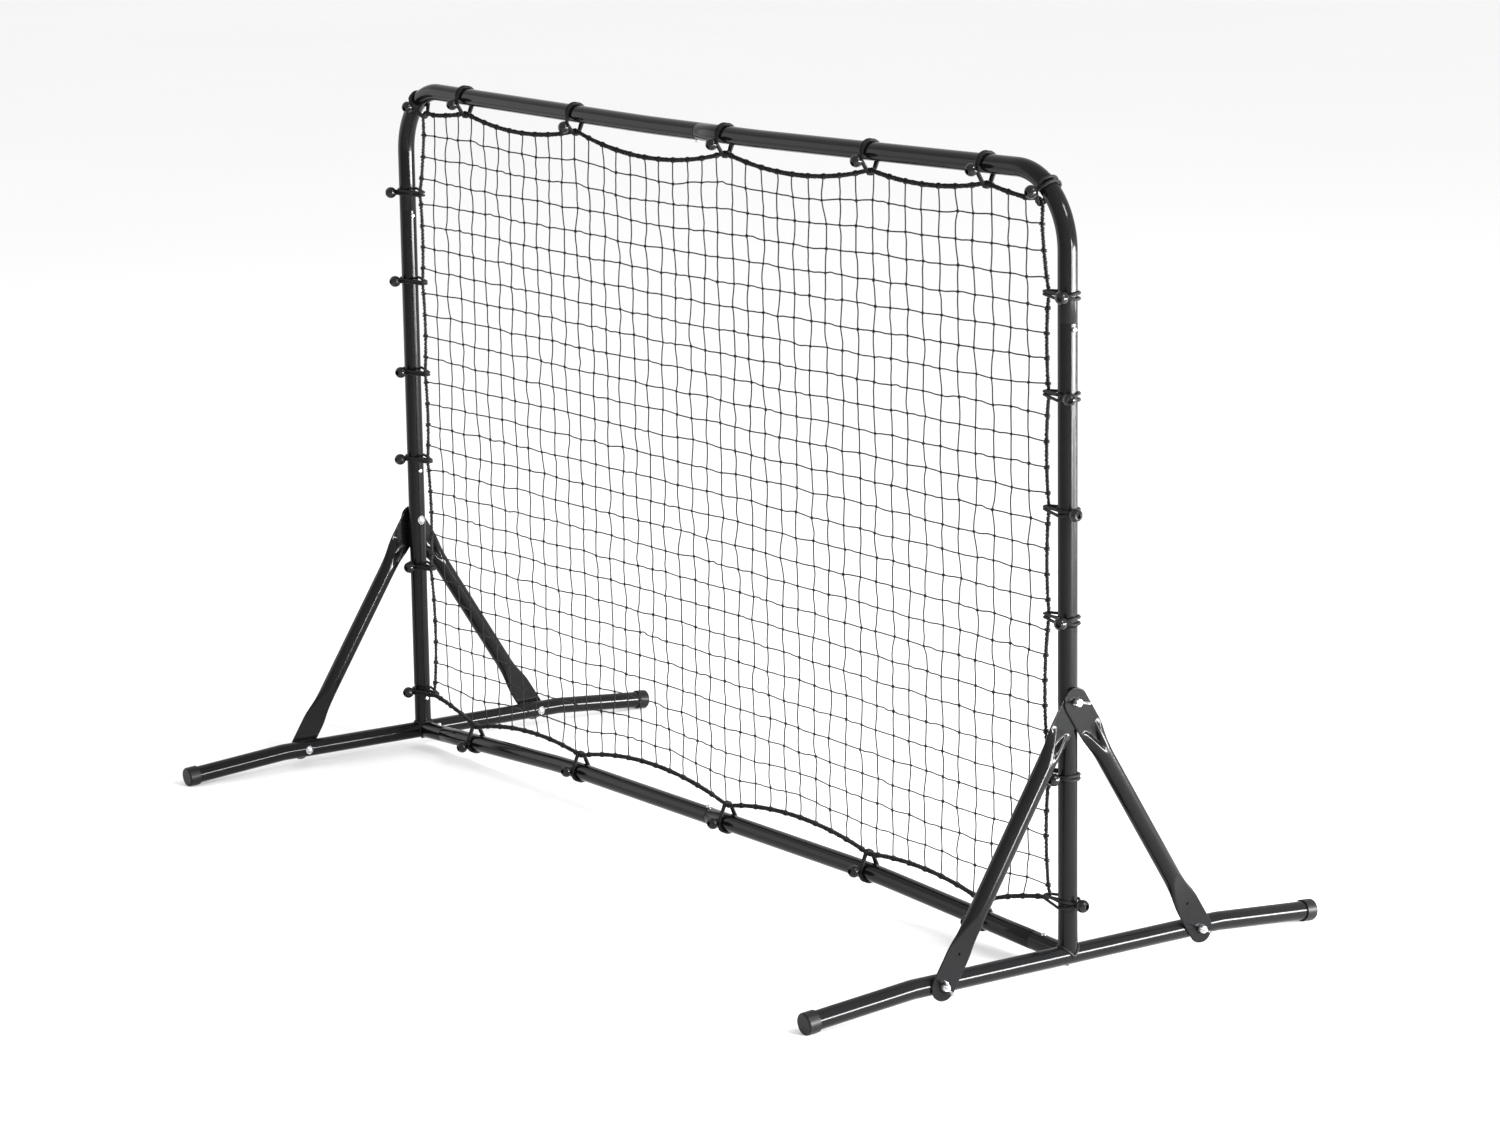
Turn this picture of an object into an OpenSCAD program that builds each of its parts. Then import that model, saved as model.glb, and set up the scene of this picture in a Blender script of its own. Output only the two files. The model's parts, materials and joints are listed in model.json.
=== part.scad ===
// Pitch back rebounder: a free-standing steel tube frame that holds a knotted net
// in tension with ball bungees. Millimetres, +Z up. The origin is on the floor,
// midway between the two feet. +X runs along the net's width and -Y is the side
// that faces the player.

/* [Net frame] */
// Distance between the axes of the two uprights
frame_w = 1800; // [1700:10:1900]
// Height from the foot tubes' axis to the top tube's axis, at the corners
frame_h = 1137; // [1100:1:1180]
// Radius of each top corner bend, on the tube's axis
corner_r = 110; // [95:1:125]
// How far the net's tension pulls the top tube down at its middle
top_dip = 10; // [6:1:14]
// How far the net's tension pulls the bottom rail up at its middle
rail_rise = 22; // [16:1:26]
// Distance from the middle to the knee where the bowed rail levels out
rail_knee = 430; // [380:5:450]

/* [Tube] */
// Outer diameter of the steel tube
tube_d = 28.6; // [28:0.1:29]
// Wall thickness of the steel tube
tube_wall = 1.2; // [1:0.1:1.3]
// Outer diameter of a swaged tube end
swage_d = 24.6; // [24.2:0.1:25]
// Length of a swaged end inside the next tube
swage_len = 60; // [50:1:70]

/* [Seams] */
// Height of each upright's upper seam above the foot tubes' axis
upper_seam = 924; // [900:1:935]
// Height of each upright's middle seam above the foot tubes' axis
middle_seam = 487; // [480:1:487]
// Height of the welded post that each upright stands in
post_len = 78; // [70:1:90]
// Length of the welded stub that the rail plugs into, from the upright's axis
stub_len = 76; // [70:1:95]

// How far left of the middle the two halves of the top tube and of the rail meet
centre_shift = 4; // [0:1:8]

/* [Feet] */
// Distance from the upright to the bend near each end of a foot
foot_bend_y = 285; // [275:1:290]
// Distance from the upright to each end of a foot tube
foot_half = 472; // [450:1:490]
// How far each end of a foot tube drops below its middle
foot_drop = 15; // [10:1:20]
// Outer diameter of an end cap
cap_d = 33; // [32:0.5:35]
// Length of an end cap
cap_len = 20; // [18:1:40]

/* [Braces] */
// Outer diameter of a brace tube
brace_d = 28; // [27:0.5:29]
// Height of the bolt that both braces share, above the foot tubes' axis
brace_top = 379; // [365:1:385]
// Distance from the upright to each lower brace bolt
brace_foot = 240; // [230:1:245]
// Width of a flattened brace end
paddle_w = 43; // [40:1:44]
// Thickness of a flattened brace end
paddle_t = 2.8; // [2.6:0.1:3]

/* [Net and bungees] */
// Diameter of the net's border rope
rope_d = 7; // [6:0.5:8]
// Diameter of the elastic cord
cord_d = 4.5; // [4:0.1:5]
// Diameter of a bungee ball
ball_d = 19.5; // [18:0.5:22]
// Distance from the top tube's axis to the rope at a bungee
hang_top = 28; // [27:0.5:32]
// Distance from the rail's axis to the rope at a bungee
hang_bottom = 27; // [26:0.5:32]
// Distance from an upright's axis to the rope at a bungee
hang_side = 42; // [38:1:46]
// Distance from a corner bend's axis to the rope at its bungee
hang_corner = 26; // [25:1:44]
// Depth of a scallop of the rope, as a share of the gap between bungees
scallop = 0.06; // [0.04:0.01:0.08]

/* [Hidden] */
$fn = 64;

black = "#26272a";
zinc = "#c7cacc";
rubber = "#1c1c1e";
twine = "#1a1a1b";

tube_r = tube_d / 2;
bore = tube_d - 2 * tube_wall;

// A swaged end tapers over swage_cone; swage_lead of it shows outside the next tube.
swage_lead = 3.5;
swage_cone = 5;

// A bend runs this far into the straights next to it, and drawing it thins it by this much.
bend_lap = 1;
bend_less = 0.25;

// Foot: the toe is the part outside the bend, and the cap's flat stands on the floor.
toe_angle = atan(foot_drop / (foot_half - foot_bend_y));
toe_bend_r = 150;
toe_tangent = toe_bend_r * tan(toe_angle / 2);
toe_len = (foot_half - foot_bend_y) / cos(toe_angle) - toe_tangent;
cap_flat = 1;
cap_end = 2.5;
cap_edge_r = 3;
cap_gap = 0.05;
axis_z = foot_drop + cap_d / 2 * cos(toe_angle) - cap_flat;

// Top tube: it falls from each corner, then levels out before the middle joint.
top_knee = 150;
top_knee_r = 6000;
top_tilt = atan(top_dip / (frame_w / 2 - top_knee));
top_tangent = top_knee_r * tan(top_tilt / 2);
corner_drop = corner_r * (cos(top_tilt) + (1 + sin(top_tilt)) * tan(top_tilt));
corner_z = axis_z + frame_h - corner_drop;
corner_x = frame_w / 2 - corner_r;

// Bottom rail: level in the middle, then falling to the stubs on the feet.
rail_knee_r = 2500;
rail_tilt = atan(rail_rise / (frame_w / 2 - rail_knee));
rail_tangent = rail_knee_r * tan(rail_tilt / 2);

// Snap buttons: near ones sit close to their seam, far ones further in.
button_d = 7.4;
button_hole = button_d + 0.4;
button_out = 3.2;
button_near = 8;
button_far = 20;
flange_r = 8.6;
leaf_t = 0.9;
leaf_w = 8;

// Bolts and wing nuts, M6
bolt_d = 6;
bolt_hole = 6.6;
bolt_len = 44;
bolt_head_d = 14.5;
bolt_head_h = 3.6;
neck_w = 6.2;
neck_len = 2.2;
nut_bore = bolt_d + 0.1;
nut_gap = 0.05;
nut_hub_h = 8;
nut_h = 17;
nut_span = 32;

// Braces: the tube's axis lies brace_out outside the upright's axis.
brace_out = tube_r + paddle_t / 2;
brace_len = sqrt(brace_top * brace_top + brace_foot * brace_foot);
brace_lean = atan(brace_foot / brace_top);
fold_at = 45;
neck_loft = 65;
neck_lap = 1;
neck_less = 0.05;
neck_sides = 32;
neck_rings = 7;
drain_at = 51;
drain_d = 4;

// Bungees: belt radii round the tube and round the rope, with a little clearance.
soft_gap = 0.3;
belt_w = 2 * cord_d + 1.5;
belt_tube_r = tube_r + soft_gap;
belt_rope_r = rope_d / 2 + soft_gap;
ball_hole_d = 8.4;
ball_hole_depth = 6;

// Places of the bungees, counted from the left or the top, with how far each ball
// has turned from the front towards the net, in degrees.
top_places = [[-700, 23], [-360, 42], [65, 26], [440, 26], [718, 14]];
rail_places = [[-722, -8], [-388, 8], [42, 5], [420, 8], [700, 0]];
left_places = [[956, -20], [802, -4], [643, 13], [488, -6], [297, 26], [70, 2]];
right_places = [[963, -34], [819, -56], [653, -74], [496, -30], [266, -7], [78, -98]];
left_corner_turn = 20;
right_corner_turn = 12;

// Angle up each corner bend at which its bungee sits.
left_corner_at = 56;
right_corner_at = 52;

net_t = 1.5;
rope_steps = 3;
rope_sides = 8;

// ---------- helpers ----------

function bow(d, knee, tangent, radius, tilt) =
  d < knee - tangent ? 0
  : d > knee + tangent ? (d - knee) * tan(tilt)
  : radius - sqrt(radius * radius - pow(d - knee + tangent, 2));

function top_z(x) =
  axis_z + frame_h - top_dip + bow(abs(x), top_knee, top_tangent, top_knee_r, top_tilt);

function rail_z(x) =
  axis_z + rail_rise - bow(abs(x), rail_knee, rail_tangent, rail_knee_r, rail_tilt);

// Where the middle seam and its button lie along a half that runs out towards +X. The
// left half is drawn mirrored.
function centre_seam(swaged_centre) = swaged_centre ? -centre_shift : centre_shift;

function centre_button(swaged_centre) =
  centre_seam(swaged_centre) + (swaged_centre ? -button_near : button_near);

module both_sides() {
  children();
  mirror([1, 0, 0]) children();
}

// The solid that a tube fills, or its bore when shrink takes off two walls. It starts
// "under" below z = 0 and runs "over" past its far end, so that a bore cuts right through.
module plain(length, shrink = 0, over = 0, under = 0) {
  translate([0, 0, -under]) cylinder(h = length + over + under, d = tube_d - shrink);
}

// The same for a tube whose far end is swaged down beyond its length.
module swaged(length, shrink = 0, over = 0, under = 0) {
  wide = (tube_d - shrink) / 2;
  narrow = (swage_d - shrink) / 2;
  start = length - swage_lead;
  end = length + swage_len + over;
  rotate_extrude()
    polygon([[0, -under], [wide, -under], [wide, start], [narrow, start + swage_cone],
      [narrow, end], [0, end]]);
}

// An arc of tube in the XZ plane, from angle a0 to a1 measured from +X towards +Z. It is
// a hair thinner than the straights and runs a little way into them.
module bend(radius, a0, a1, shrink = 0) {
  lap = bend_lap / radius * 180 / PI;
  rotate([90, 0, 0]) rotate([0, 0, a0 - lap]) rotate_extrude(angle = a1 - a0 + 2 * lap)
    translate([radius, 0]) circle(d = tube_d - bend_less - shrink);
}

module cross_hole(length, d) {
  rotate([0, 90, 0]) cylinder(h = length, d = d, center = true);
}

// ---------- top tube and uprights ----------

// The right half of the top tube with its corner and leg, drawn about the upper end of
// the upright's axis. The inner end is swaged or plain.
module corner_fill(swaged_centre, shrink = 0, over = 0) {
  level = top_knee - top_tangent;
  half = level - centre_seam(swaged_centre);
  slope = (corner_x - sin(top_tilt) * corner_r - top_knee) / cos(top_tilt) - top_tangent;
  translate([level - frame_w / 2, 0, -top_dip]) rotate([0, -90, 0]) {
    if (swaged_centre) swaged(half, shrink, over);
    else plain(half, shrink, over);
  }
  translate([level - frame_w / 2, 0, top_knee_r - top_dip])
    bend(top_knee_r, 270, 270 + top_tilt, shrink);
  translate([top_knee + top_tangent * cos(top_tilt) - frame_w / 2, 0,
    top_tangent * sin(top_tilt) - top_dip])
    rotate([0, 90 - top_tilt, 0]) plain(slope, shrink);
  translate([-corner_r, 0, -corner_drop]) bend(corner_r, 0, 90 + top_tilt, shrink);
  translate([0, 0, -corner_drop]) rotate([180, 0, 0])
    swaged(frame_h - corner_drop - upper_seam, shrink, over);
}

module top_corner(swaged_centre, button_side) {
  color(black) translate([frame_w / 2, 0, axis_z + frame_h]) difference() {
    corner_fill(swaged_centre);
    corner_fill(swaged_centre, 2 * tube_wall, 1);
    translate([0, 0, upper_seam - button_near - frame_h])
      rotate([0, 90 * button_side, 0]) cylinder(h = tube_d, d = button_hole);
    translate([centre_button(swaged_centre) - frame_w / 2, 0, -top_dip])
      rotate([180, 0, 0]) cylinder(h = tube_d, d = button_hole);
  }
}

module top_corner_left() mirror([1, 0, 0]) top_corner(false, -1);

module top_corner_right() top_corner(true, 1);

// A straight length of upright: plain at the top, swaged at the bottom.
module upright(low, high, near, inner_sign, outer_sign, bolted) {
  color(black) translate([0, 0, axis_z]) difference() {
    translate([0, 0, high]) rotate([180, 0, 0]) swaged(high - low);
    translate([0, 0, high]) rotate([180, 0, 0]) swaged(high - low, 2 * tube_wall, 1, 1);
    translate([0, 0, high - near]) rotate([0, 90 * outer_sign, 0])
      cylinder(h = tube_d, d = button_hole);
    translate([0, 0, low - button_far]) rotate([0, 90 * inner_sign, 0])
      cylinder(h = tube_d, d = button_hole);
    if (bolted) translate([0, 0, brace_top]) {
      cross_hole(2 * tube_d, bolt_hole);
      translate([tube_r * inner_sign, 0, 0])
        cube([3 * tube_wall, neck_w + 0.4, neck_w + 0.4], center = true);
    }
  }
}

module upright_left_upper()
  translate([-frame_w / 2, 0, 0]) upright(middle_seam, upper_seam, button_near, 1, 1, false);

module upright_right_upper()
  translate([frame_w / 2, 0, 0]) upright(middle_seam, upper_seam, button_near, -1, 1, false);

module upright_left_lower()
  translate([-frame_w / 2, 0, 0]) upright(post_len, middle_seam, button_far, 1, 1, true);

module upright_right_lower()
  translate([frame_w / 2, 0, 0]) upright(post_len, middle_seam, button_far, -1, -1, true);

// ---------- bottom rail ----------

// The right half of the rail, from the middle to its swaged outer end, drawn about the
// height of its middle.
module rail_fill(swaged_centre, shrink = 0, over = 0) {
  level = rail_knee - rail_tangent;
  half = level - centre_seam(swaged_centre);
  outer = (frame_w / 2 - rail_knee) / cos(rail_tilt) - rail_tangent - stub_len;
  translate([level, 0, 0]) rotate([0, -90, 0]) {
    if (swaged_centre) swaged(half, shrink, over);
    else plain(half, shrink, over);
  }
  translate([level, 0, -rail_knee_r]) bend(rail_knee_r, 90 - rail_tilt, 90, shrink);
  translate([rail_knee + rail_tangent * cos(rail_tilt), 0, -rail_tangent * sin(rail_tilt)])
    rotate([0, 90 + rail_tilt, 0]) swaged(outer, shrink, over);
}

module rail(swaged_centre) {
  color(black) translate([0, 0, rail_z(0)]) difference() {
    rail_fill(swaged_centre);
    rail_fill(swaged_centre, 2 * tube_wall, 1);
    translate([centre_button(swaged_centre), 0, 0])
      cylinder(h = tube_d, d = button_hole);
    translate([0, 0, -rail_z(0)]) rail_end_place(button_far) cylinder(h = tube_d, d = button_hole);
  }
}

// Puts children on the rail's axis, a distance past the right stub's seam.
module rail_end_place(past_seam) {
  translate([frame_w / 2, 0, axis_z]) rotate([0, rail_tilt, 0])
    translate([past_seam - stub_len, 0, 0]) children();
}

module rail_left() mirror([1, 0, 0]) rail(false);

module rail_right() rail(true);

// ---------- feet ----------

module foot_fill(shrink = 0, over = 0) {
  straight = 2 * (foot_bend_y - toe_tangent);
  rotate([90, 0, 0]) cylinder(h = straight, d = tube_d - shrink, center = true);
  for (side = [-1, 1]) scale([1, side, 1]) translate([0, straight / 2, 0]) {
    translate([0, 0, -toe_bend_r]) rotate([0, 0, 90])
      bend(toe_bend_r, 90 - toe_angle, 90, shrink);
    translate([0, toe_bend_r * sin(toe_angle), -toe_bend_r * (1 - cos(toe_angle))])
      rotate([-90 - toe_angle, 0, 0]) plain(toe_len, shrink, over);
  }
}

// The right foot tube. The bolts' square necks sit in square holes on its inner side.
module foot_tube() {
  color(black) translate([frame_w / 2, 0, axis_z]) difference() {
    foot_fill();
    foot_fill(2 * tube_wall, 1);
    for (side = [-1, 1]) translate([0, side * brace_foot, 0]) {
      cross_hole(2 * tube_d, bolt_hole);
      translate([-tube_r, 0, 0])
        cube([3 * tube_wall, neck_w + 0.4, neck_w + 0.4], center = true);
    }
  }
}

module foot_tube_left() mirror([1, 0, 0]) foot_tube();

module foot_tube_right() foot_tube();

// The post is coped to sit on the foot tube, and takes the upright's swaged end.
module foot_post(inner_sign) {
  color(black) translate([0, 0, axis_z]) difference() {
    cylinder(h = post_len, d = tube_d);
    translate([0, 0, -1]) cylinder(h = post_len + 2, d = bore);
    rotate([90, 0, 0]) cylinder(h = 2 * tube_d, d = tube_d, center = true);
    translate([0, 0, post_len - button_far]) rotate([0, 90 * inner_sign, 0])
      cylinder(h = tube_d, d = button_hole);
  }
}

module foot_post_left() translate([-frame_w / 2, 0, 0]) foot_post(1);

module foot_post_right() translate([frame_w / 2, 0, 0]) foot_post(-1);

// The stub is coped against the foot tube and the post, and takes the rail's swaged end.
module rail_stub() {
  color(black) difference() {
    rail_end_place(0) rotate([0, 90, 0]) cylinder(h = stub_len, d = tube_d);
    rail_end_place(-1) rotate([0, 90, 0]) cylinder(h = stub_len + 2, d = bore);
    translate([frame_w / 2, 0, axis_z]) {
      rotate([90, 0, 0]) cylinder(h = 2 * tube_d, d = tube_d, center = true);
      cylinder(h = post_len, d = tube_d);
    }
    rail_end_place(button_far) cylinder(h = tube_d, d = button_hole);
  }
}

module rail_stub_left() mirror([1, 0, 0]) rail_stub();

module rail_stub_right() rail_stub();

// A moulded cup over the end of a foot tube, with a small flat where it meets the floor.
module end_cap(side_x, side_y) {
  color(rubber) difference() {
    translate([side_x * frame_w / 2, side_y * foot_half, axis_z - foot_drop])
      rotate([side_y * (-90 - toe_angle), 0, 0])
        rotate_extrude() difference() {
          union() {
            translate([0, cap_end - cap_len]) square([cap_d / 2, cap_len - cap_edge_r]);
            square([cap_d / 2 - cap_edge_r, cap_end]);
            translate([cap_d / 2 - cap_edge_r, cap_end - cap_edge_r]) circle(r = cap_edge_r);
          }
          translate([0, -cap_len]) square([tube_r + cap_gap, cap_len]);
          translate([-cap_d, -cap_d]) square([cap_d, 2 * cap_d]);
        }
    translate([side_x * frame_w / 2, side_y * foot_half, -cap_d])
      cube([2 * cap_d, 4 * cap_d, 2 * cap_d], center = true);
  }
}

module end_cap_left_front() end_cap(-1, -1);

module end_cap_left_rear() end_cap(-1, 1);

module end_cap_right_front() end_cap(1, -1);

module end_cap_right_rear() end_cap(1, 1);

// ---------- braces ----------

function signed_pow(v, e) = sign(v) * pow(abs(v), e);

function ease(t) = t * t * (3 - 2 * t);

// One ring of the neck between paddle (t = 0) and round tube (t = 1), inset from both.
function neck_ring(t, z, offset, inset) =
  let(
    half_w = (1 - ease(t)) * paddle_w / 2 + ease(t) * brace_d / 2 - inset,
    half_t = max(0.3, (1 - pow(t, 0.8)) * paddle_t / 2 + pow(t, 0.8) * brace_d / 2 - inset),
    e = 0.35 + 0.65 * t
  )
  [for (i = [0 : neck_sides - 1])
    let(a = 360 * (i + 0.5) / neck_sides)
    [offset * (1 - ease(t)) + half_t * signed_pow(cos(a), e), half_w * signed_pow(sin(a), e), z]];

// The neck as one closed solid along +Z. Both ends run a little way into their
// neighbours, and lie a hair inside them.
module neck(offset, inset) {
  last = neck_rings - 1;
  points = concat(
    neck_ring(0, -neck_lap, offset, inset),
    [for (k = [0 : last]) each neck_ring(k / last, neck_loft * k / last, offset, inset)],
    neck_ring(1, neck_loft + neck_lap, offset, inset)
  );
  bottom = [[for (i = [0 : neck_sides - 1]) i]];
  top = [[for (i = [neck_sides - 1 : -1 : 0]) (last + 2) * neck_sides + i]];
  walls = [for (k = [0 : last + 1]) for (i = [0 : neck_sides - 1])
    let(j = (i + 1) % neck_sides, a = k * neck_sides + i, b = k * neck_sides + j)
    each [[a, a + neck_sides, b], [b, a + neck_sides, b + neck_sides]]];
  polyhedron(points, concat(bottom, top, walls));
}

// A paddle lying in the YZ plane with its bolt at the origin, running along +Z.
module paddle() {
  rotate([90, 0, 90]) linear_extrude(paddle_t, center = true) {
    circle(d = paddle_w);
    translate([-paddle_w / 2, 0]) square([paddle_w, fold_at]);
  }
}

// A brace along +Z from its lower bolt. Its upper paddle may be set outwards, so that it
// lies over the other brace's.
module brace(upper_offset) {
  tube_from = fold_at + neck_loft;
  tube_to = brace_len - fold_at - neck_loft;
  difference() {
    union() {
      paddle();
      translate([0, 0, fold_at]) neck(0, neck_less);
      translate([0, 0, tube_from]) cylinder(h = tube_to - tube_from, d = brace_d);
      translate([0, 0, brace_len - fold_at]) rotate([180, 0, 0]) neck(upper_offset, neck_less);
      translate([upper_offset, 0, brace_len]) rotate([180, 0, 0]) paddle();
    }
    translate([0, 0, fold_at]) neck(0, tube_wall + neck_less);
    translate([0, 0, tube_from]) cylinder(h = tube_to - tube_from, d = brace_d - 2 * tube_wall);
    translate([0, 0, brace_len - fold_at]) rotate([180, 0, 0])
      neck(upper_offset, tube_wall + neck_less);
    cross_hole(brace_d, bolt_hole);
    translate([0, 0, brace_len]) cross_hole(brace_d, bolt_hole);
    translate([0, 0, drain_at]) rotate([0, 90, 0]) cylinder(h = brace_d, d = drain_d);
  }
}

// Stands a right-hand brace in place: side_y is -1 for the front one, 1 for the rear one.
module place_brace(side_y, upper_offset) {
  color(black) translate([frame_w / 2 + brace_out, side_y * brace_foot, axis_z])
    rotate([side_y * brace_lean, 0, 0]) brace(upper_offset);
}

module brace_right_front() place_brace(-1, 0);

module brace_right_rear() place_brace(1, paddle_t);

module brace_left_front() mirror([1, 0, 0]) brace_right_front();

module brace_left_rear() mirror([1, 0, 0]) brace_right_rear();

// ---------- bolts and wing nuts ----------

// Right-hand bolt places.
top_place = [frame_w / 2, 0, axis_z + brace_top];
front_place = [frame_w / 2, -brace_foot, axis_z];
rear_place = [frame_w / 2, brace_foot, axis_z];

// A domed carriage bolt along +X, with the underside of its head at X = -tube_r.
module carriage_bolt() {
  translate([-tube_r, 0, 0]) rotate([0, 90, 0]) {
    cylinder(h = bolt_len, d = bolt_d);
    translate([-neck_w / 2, -neck_w / 2, 0]) cube([neck_w, neck_w, neck_len]);
    rotate([180, 0, 0]) rotate_extrude() intersection() {
      square([bolt_head_d / 2, bolt_head_h]);
      dome_r = (pow(bolt_head_d / 2, 2) + pow(bolt_head_h, 2)) / (2 * bolt_head_h);
      translate([0, bolt_head_h - dome_r]) circle(r = dome_r);
    }
  }
}

module carriage_bolts() {
  color(zinc) both_sides() for (place = [top_place, front_place, rear_place])
    translate(place) carriage_bolt();
}

// A wing nut on its bolt's axis: base at X = 0, wings turned by an angle about +X.
module wing_nut(turn) {
  rotate([turn, 0, 0]) difference() {
    union() {
      rotate([0, 90, 0]) cylinder(h = nut_hub_h, d1 = 14, d2 = 11);
      for (half = [0, 180]) rotate([half, 0, 0]) rotate([90, 0, 90])
        rotate([90, 0, 0]) linear_extrude(2.4, center = true) wing_outline();
    }
    cross_hole(4 * nut_h, nut_bore);
    rotate([0, 90, 0]) translate([0, 0, nut_hub_h]) cylinder(h = nut_h, d = 9);
  }
}

// One wing, seen side on: it leaves the hub and rises to a rounded lobe.
module wing_outline() {
  lobe_r = 4.6;
  tip = [nut_span / 2 - lobe_r, nut_h - lobe_r];
  translate(tip) circle(r = lobe_r);
  polygon([[4.2, 1.2], [6.4, 1.2], [tip[0] + lobe_r * cos(-30), tip[1] + lobe_r * sin(-30)],
    [tip[0] - lobe_r * cos(-30), tip[1] - lobe_r * sin(-30)], [4.2, nut_hub_h - 0.6]]);
}

module place_nut(place, paddles, turn) {
  color(zinc) translate(place + [tube_r + paddles * paddle_t + nut_gap, 0, 0]) wing_nut(turn);
}

module wing_nut_right_top() place_nut(top_place, 2, -4);

module wing_nut_right_front() place_nut(front_place, 1, -58);

module wing_nut_right_rear() place_nut(rear_place, 1, -26);

module wing_nut_left_top() mirror([1, 0, 0]) place_nut(top_place, 2, 24);

module wing_nut_left_front() mirror([1, 0, 0]) place_nut(front_place, 1, 70);

module wing_nut_left_rear() mirror([1, 0, 0]) place_nut(rear_place, 1, -38);

// ---------- snap buttons and their springs ----------

// Puts children at a button: +Z is the way out of the tube, +X runs along the tube.
module at_left_upper() translate([-frame_w / 2, 0, axis_z + upper_seam - button_near])
  rotate([0, 90, 0]) children();

module at_left_middle() translate([-frame_w / 2, 0, axis_z + middle_seam - button_far])
  rotate([0, 90, 0]) children();

module at_left_post() translate([-frame_w / 2, 0, axis_z + post_len - button_far])
  rotate([0, 90, 0]) children();

module at_left_stub() mirror([1, 0, 0]) rail_end_place(button_far) children();

module at_right_upper() translate([frame_w / 2, 0, axis_z + upper_seam - button_near])
  rotate([0, 90, 0]) children();

module at_right_middle() translate([frame_w / 2, 0, axis_z + middle_seam - button_far])
  mirror([1, 0, 0]) rotate([0, 90, 0]) children();

module at_right_post() translate([frame_w / 2, 0, axis_z + post_len - button_far])
  mirror([1, 0, 0]) rotate([0, 90, 0]) children();

module at_right_stub() rail_end_place(button_far) children();

module at_top_centre() translate([centre_button(true), 0, top_z(0)]) rotate([180, 0, 0]) children();

module at_rail_centre() translate([centre_button(true), 0, rail_z(0)]) children();

// A steel pip with a flange that the spring's leaf pushes against.
module snap_button() {
  dome = 2.2;
  color(zinc) rotate_extrude() difference() {
    union() {
      translate([0, flange_r]) square([4.8, 0.9]);
      translate([0, flange_r]) square([button_d / 2, tube_r + button_out - flange_r - dome]);
      translate([0, tube_r + button_out - dome]) square([button_d / 2 - dome, dome]);
      translate([button_d / 2 - dome, tube_r + button_out - dome]) circle(r = dome);
    }
    translate([-tube_d, 0]) square([tube_d, 2 * tube_d]);
  }
}

module snap_button_left_upper() at_left_upper() snap_button();

module snap_button_left_middle() at_left_middle() snap_button();

module snap_button_left_post() at_left_post() snap_button();

module snap_button_left_stub() at_left_stub() snap_button();

module snap_button_right_upper() at_right_upper() snap_button();

module snap_button_right_middle() at_right_middle() snap_button();

module snap_button_right_post() at_right_post() snap_button();

module snap_button_right_stub() at_right_stub() snap_button();

module snap_button_top_centre() at_top_centre() snap_button();

module snap_button_rail_centre() at_rail_centre() snap_button();

// A strip of spring steel bent into a U across the tube. It lies along +X of its button.
module spring_strip() {
  reach = 26;
  back = 7;
  high = flange_r - 0.05;
  low = -10.2;
  outer_r = (high - low) / 2;
  rotate([90, 0, 0]) linear_extrude(leaf_w, center = true) {
    translate([-back, high - leaf_t]) square([reach + back, leaf_t]);
    translate([-back, low]) square([reach + back, leaf_t]);
    translate([reach, (high + low) / 2]) difference() {
      circle(r = outer_r);
      circle(r = outer_r - leaf_t);
      translate([-2 * outer_r, -2 * outer_r]) square([2 * outer_r, 4 * outer_r]);
    }
  }
}

module button_springs() {
  color(zinc) {
    at_left_upper() spring_strip();
    at_left_middle() spring_strip();
    at_left_post() spring_strip();
    at_left_stub() spring_strip();
    at_right_upper() spring_strip();
    at_right_middle() spring_strip();
    at_right_post() spring_strip();
    at_right_stub() spring_strip();
    at_top_centre() spring_strip();
    at_rail_centre() spring_strip();
  }
}

// ---------- net, rope and bungees ----------

// Each attachment is [tube point, way to the net, ball turn, reach],
// all in the XZ plane, in order round the frame from the top left corner.
left_corner_way = [cos(left_corner_at), -sin(left_corner_at)];
left_corner = [-corner_x, corner_z] - left_corner_way * corner_r;
right_corner_way = [-cos(right_corner_at), -sin(right_corner_at)];
right_corner = [corner_x, corner_z] - right_corner_way * corner_r;
attachments = concat(
  [[left_corner, left_corner_way, left_corner_turn, hang_corner]],
  [for (p = top_places) [[p[0], top_z(p[0])], [0, -1], p[1], hang_top]],
  [[right_corner, right_corner_way, right_corner_turn, hang_corner]],
  [for (p = right_places) [[frame_w / 2, axis_z + p[0]], [-1, 0], p[1], hang_side]],
  [for (i = [len(rail_places) - 1 : -1 : 0]) let(p = rail_places[i])
    [[p[0], rail_z(p[0])], [0, 1], p[1], hang_bottom]],
  [for (i = [len(left_places) - 1 : -1 : 0]) let(p = left_places[i])
    [[-frame_w / 2, axis_z + p[0]], [1, 0], p[1], hang_side]]
);
n_bungees = len(attachments);

function caught(i) = let(a = attachments[i % n_bungees]) a[0] + a[1] * a[3];

// The rope's route in the XZ plane: a shallow scallop towards the net between bungees.
rope_route = [for (i = [0 : n_bungees - 1]) for (k = [0 : rope_steps - 1])
  let(
    p = caught(i),
    q = caught(i + 1),
    t = k / rope_steps,
    along = q - p,
    gap = norm(along),
    inward = [along[1], -along[0]] / gap
  )
  p + along * t + inward * scallop * gap * 4 * t * (1 - t)];
n_route = len(rope_route);

function route_way(i) =
  let(v = rope_route[(i + 1) % n_route] - rope_route[(i + n_route - 1) % n_route]) v / norm(v);

// The rope's centre line shifted towards the net.
function route_inset(i, by) = let(w = route_way(i)) rope_route[i] + [w[1], -w[0]] * by;

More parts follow.
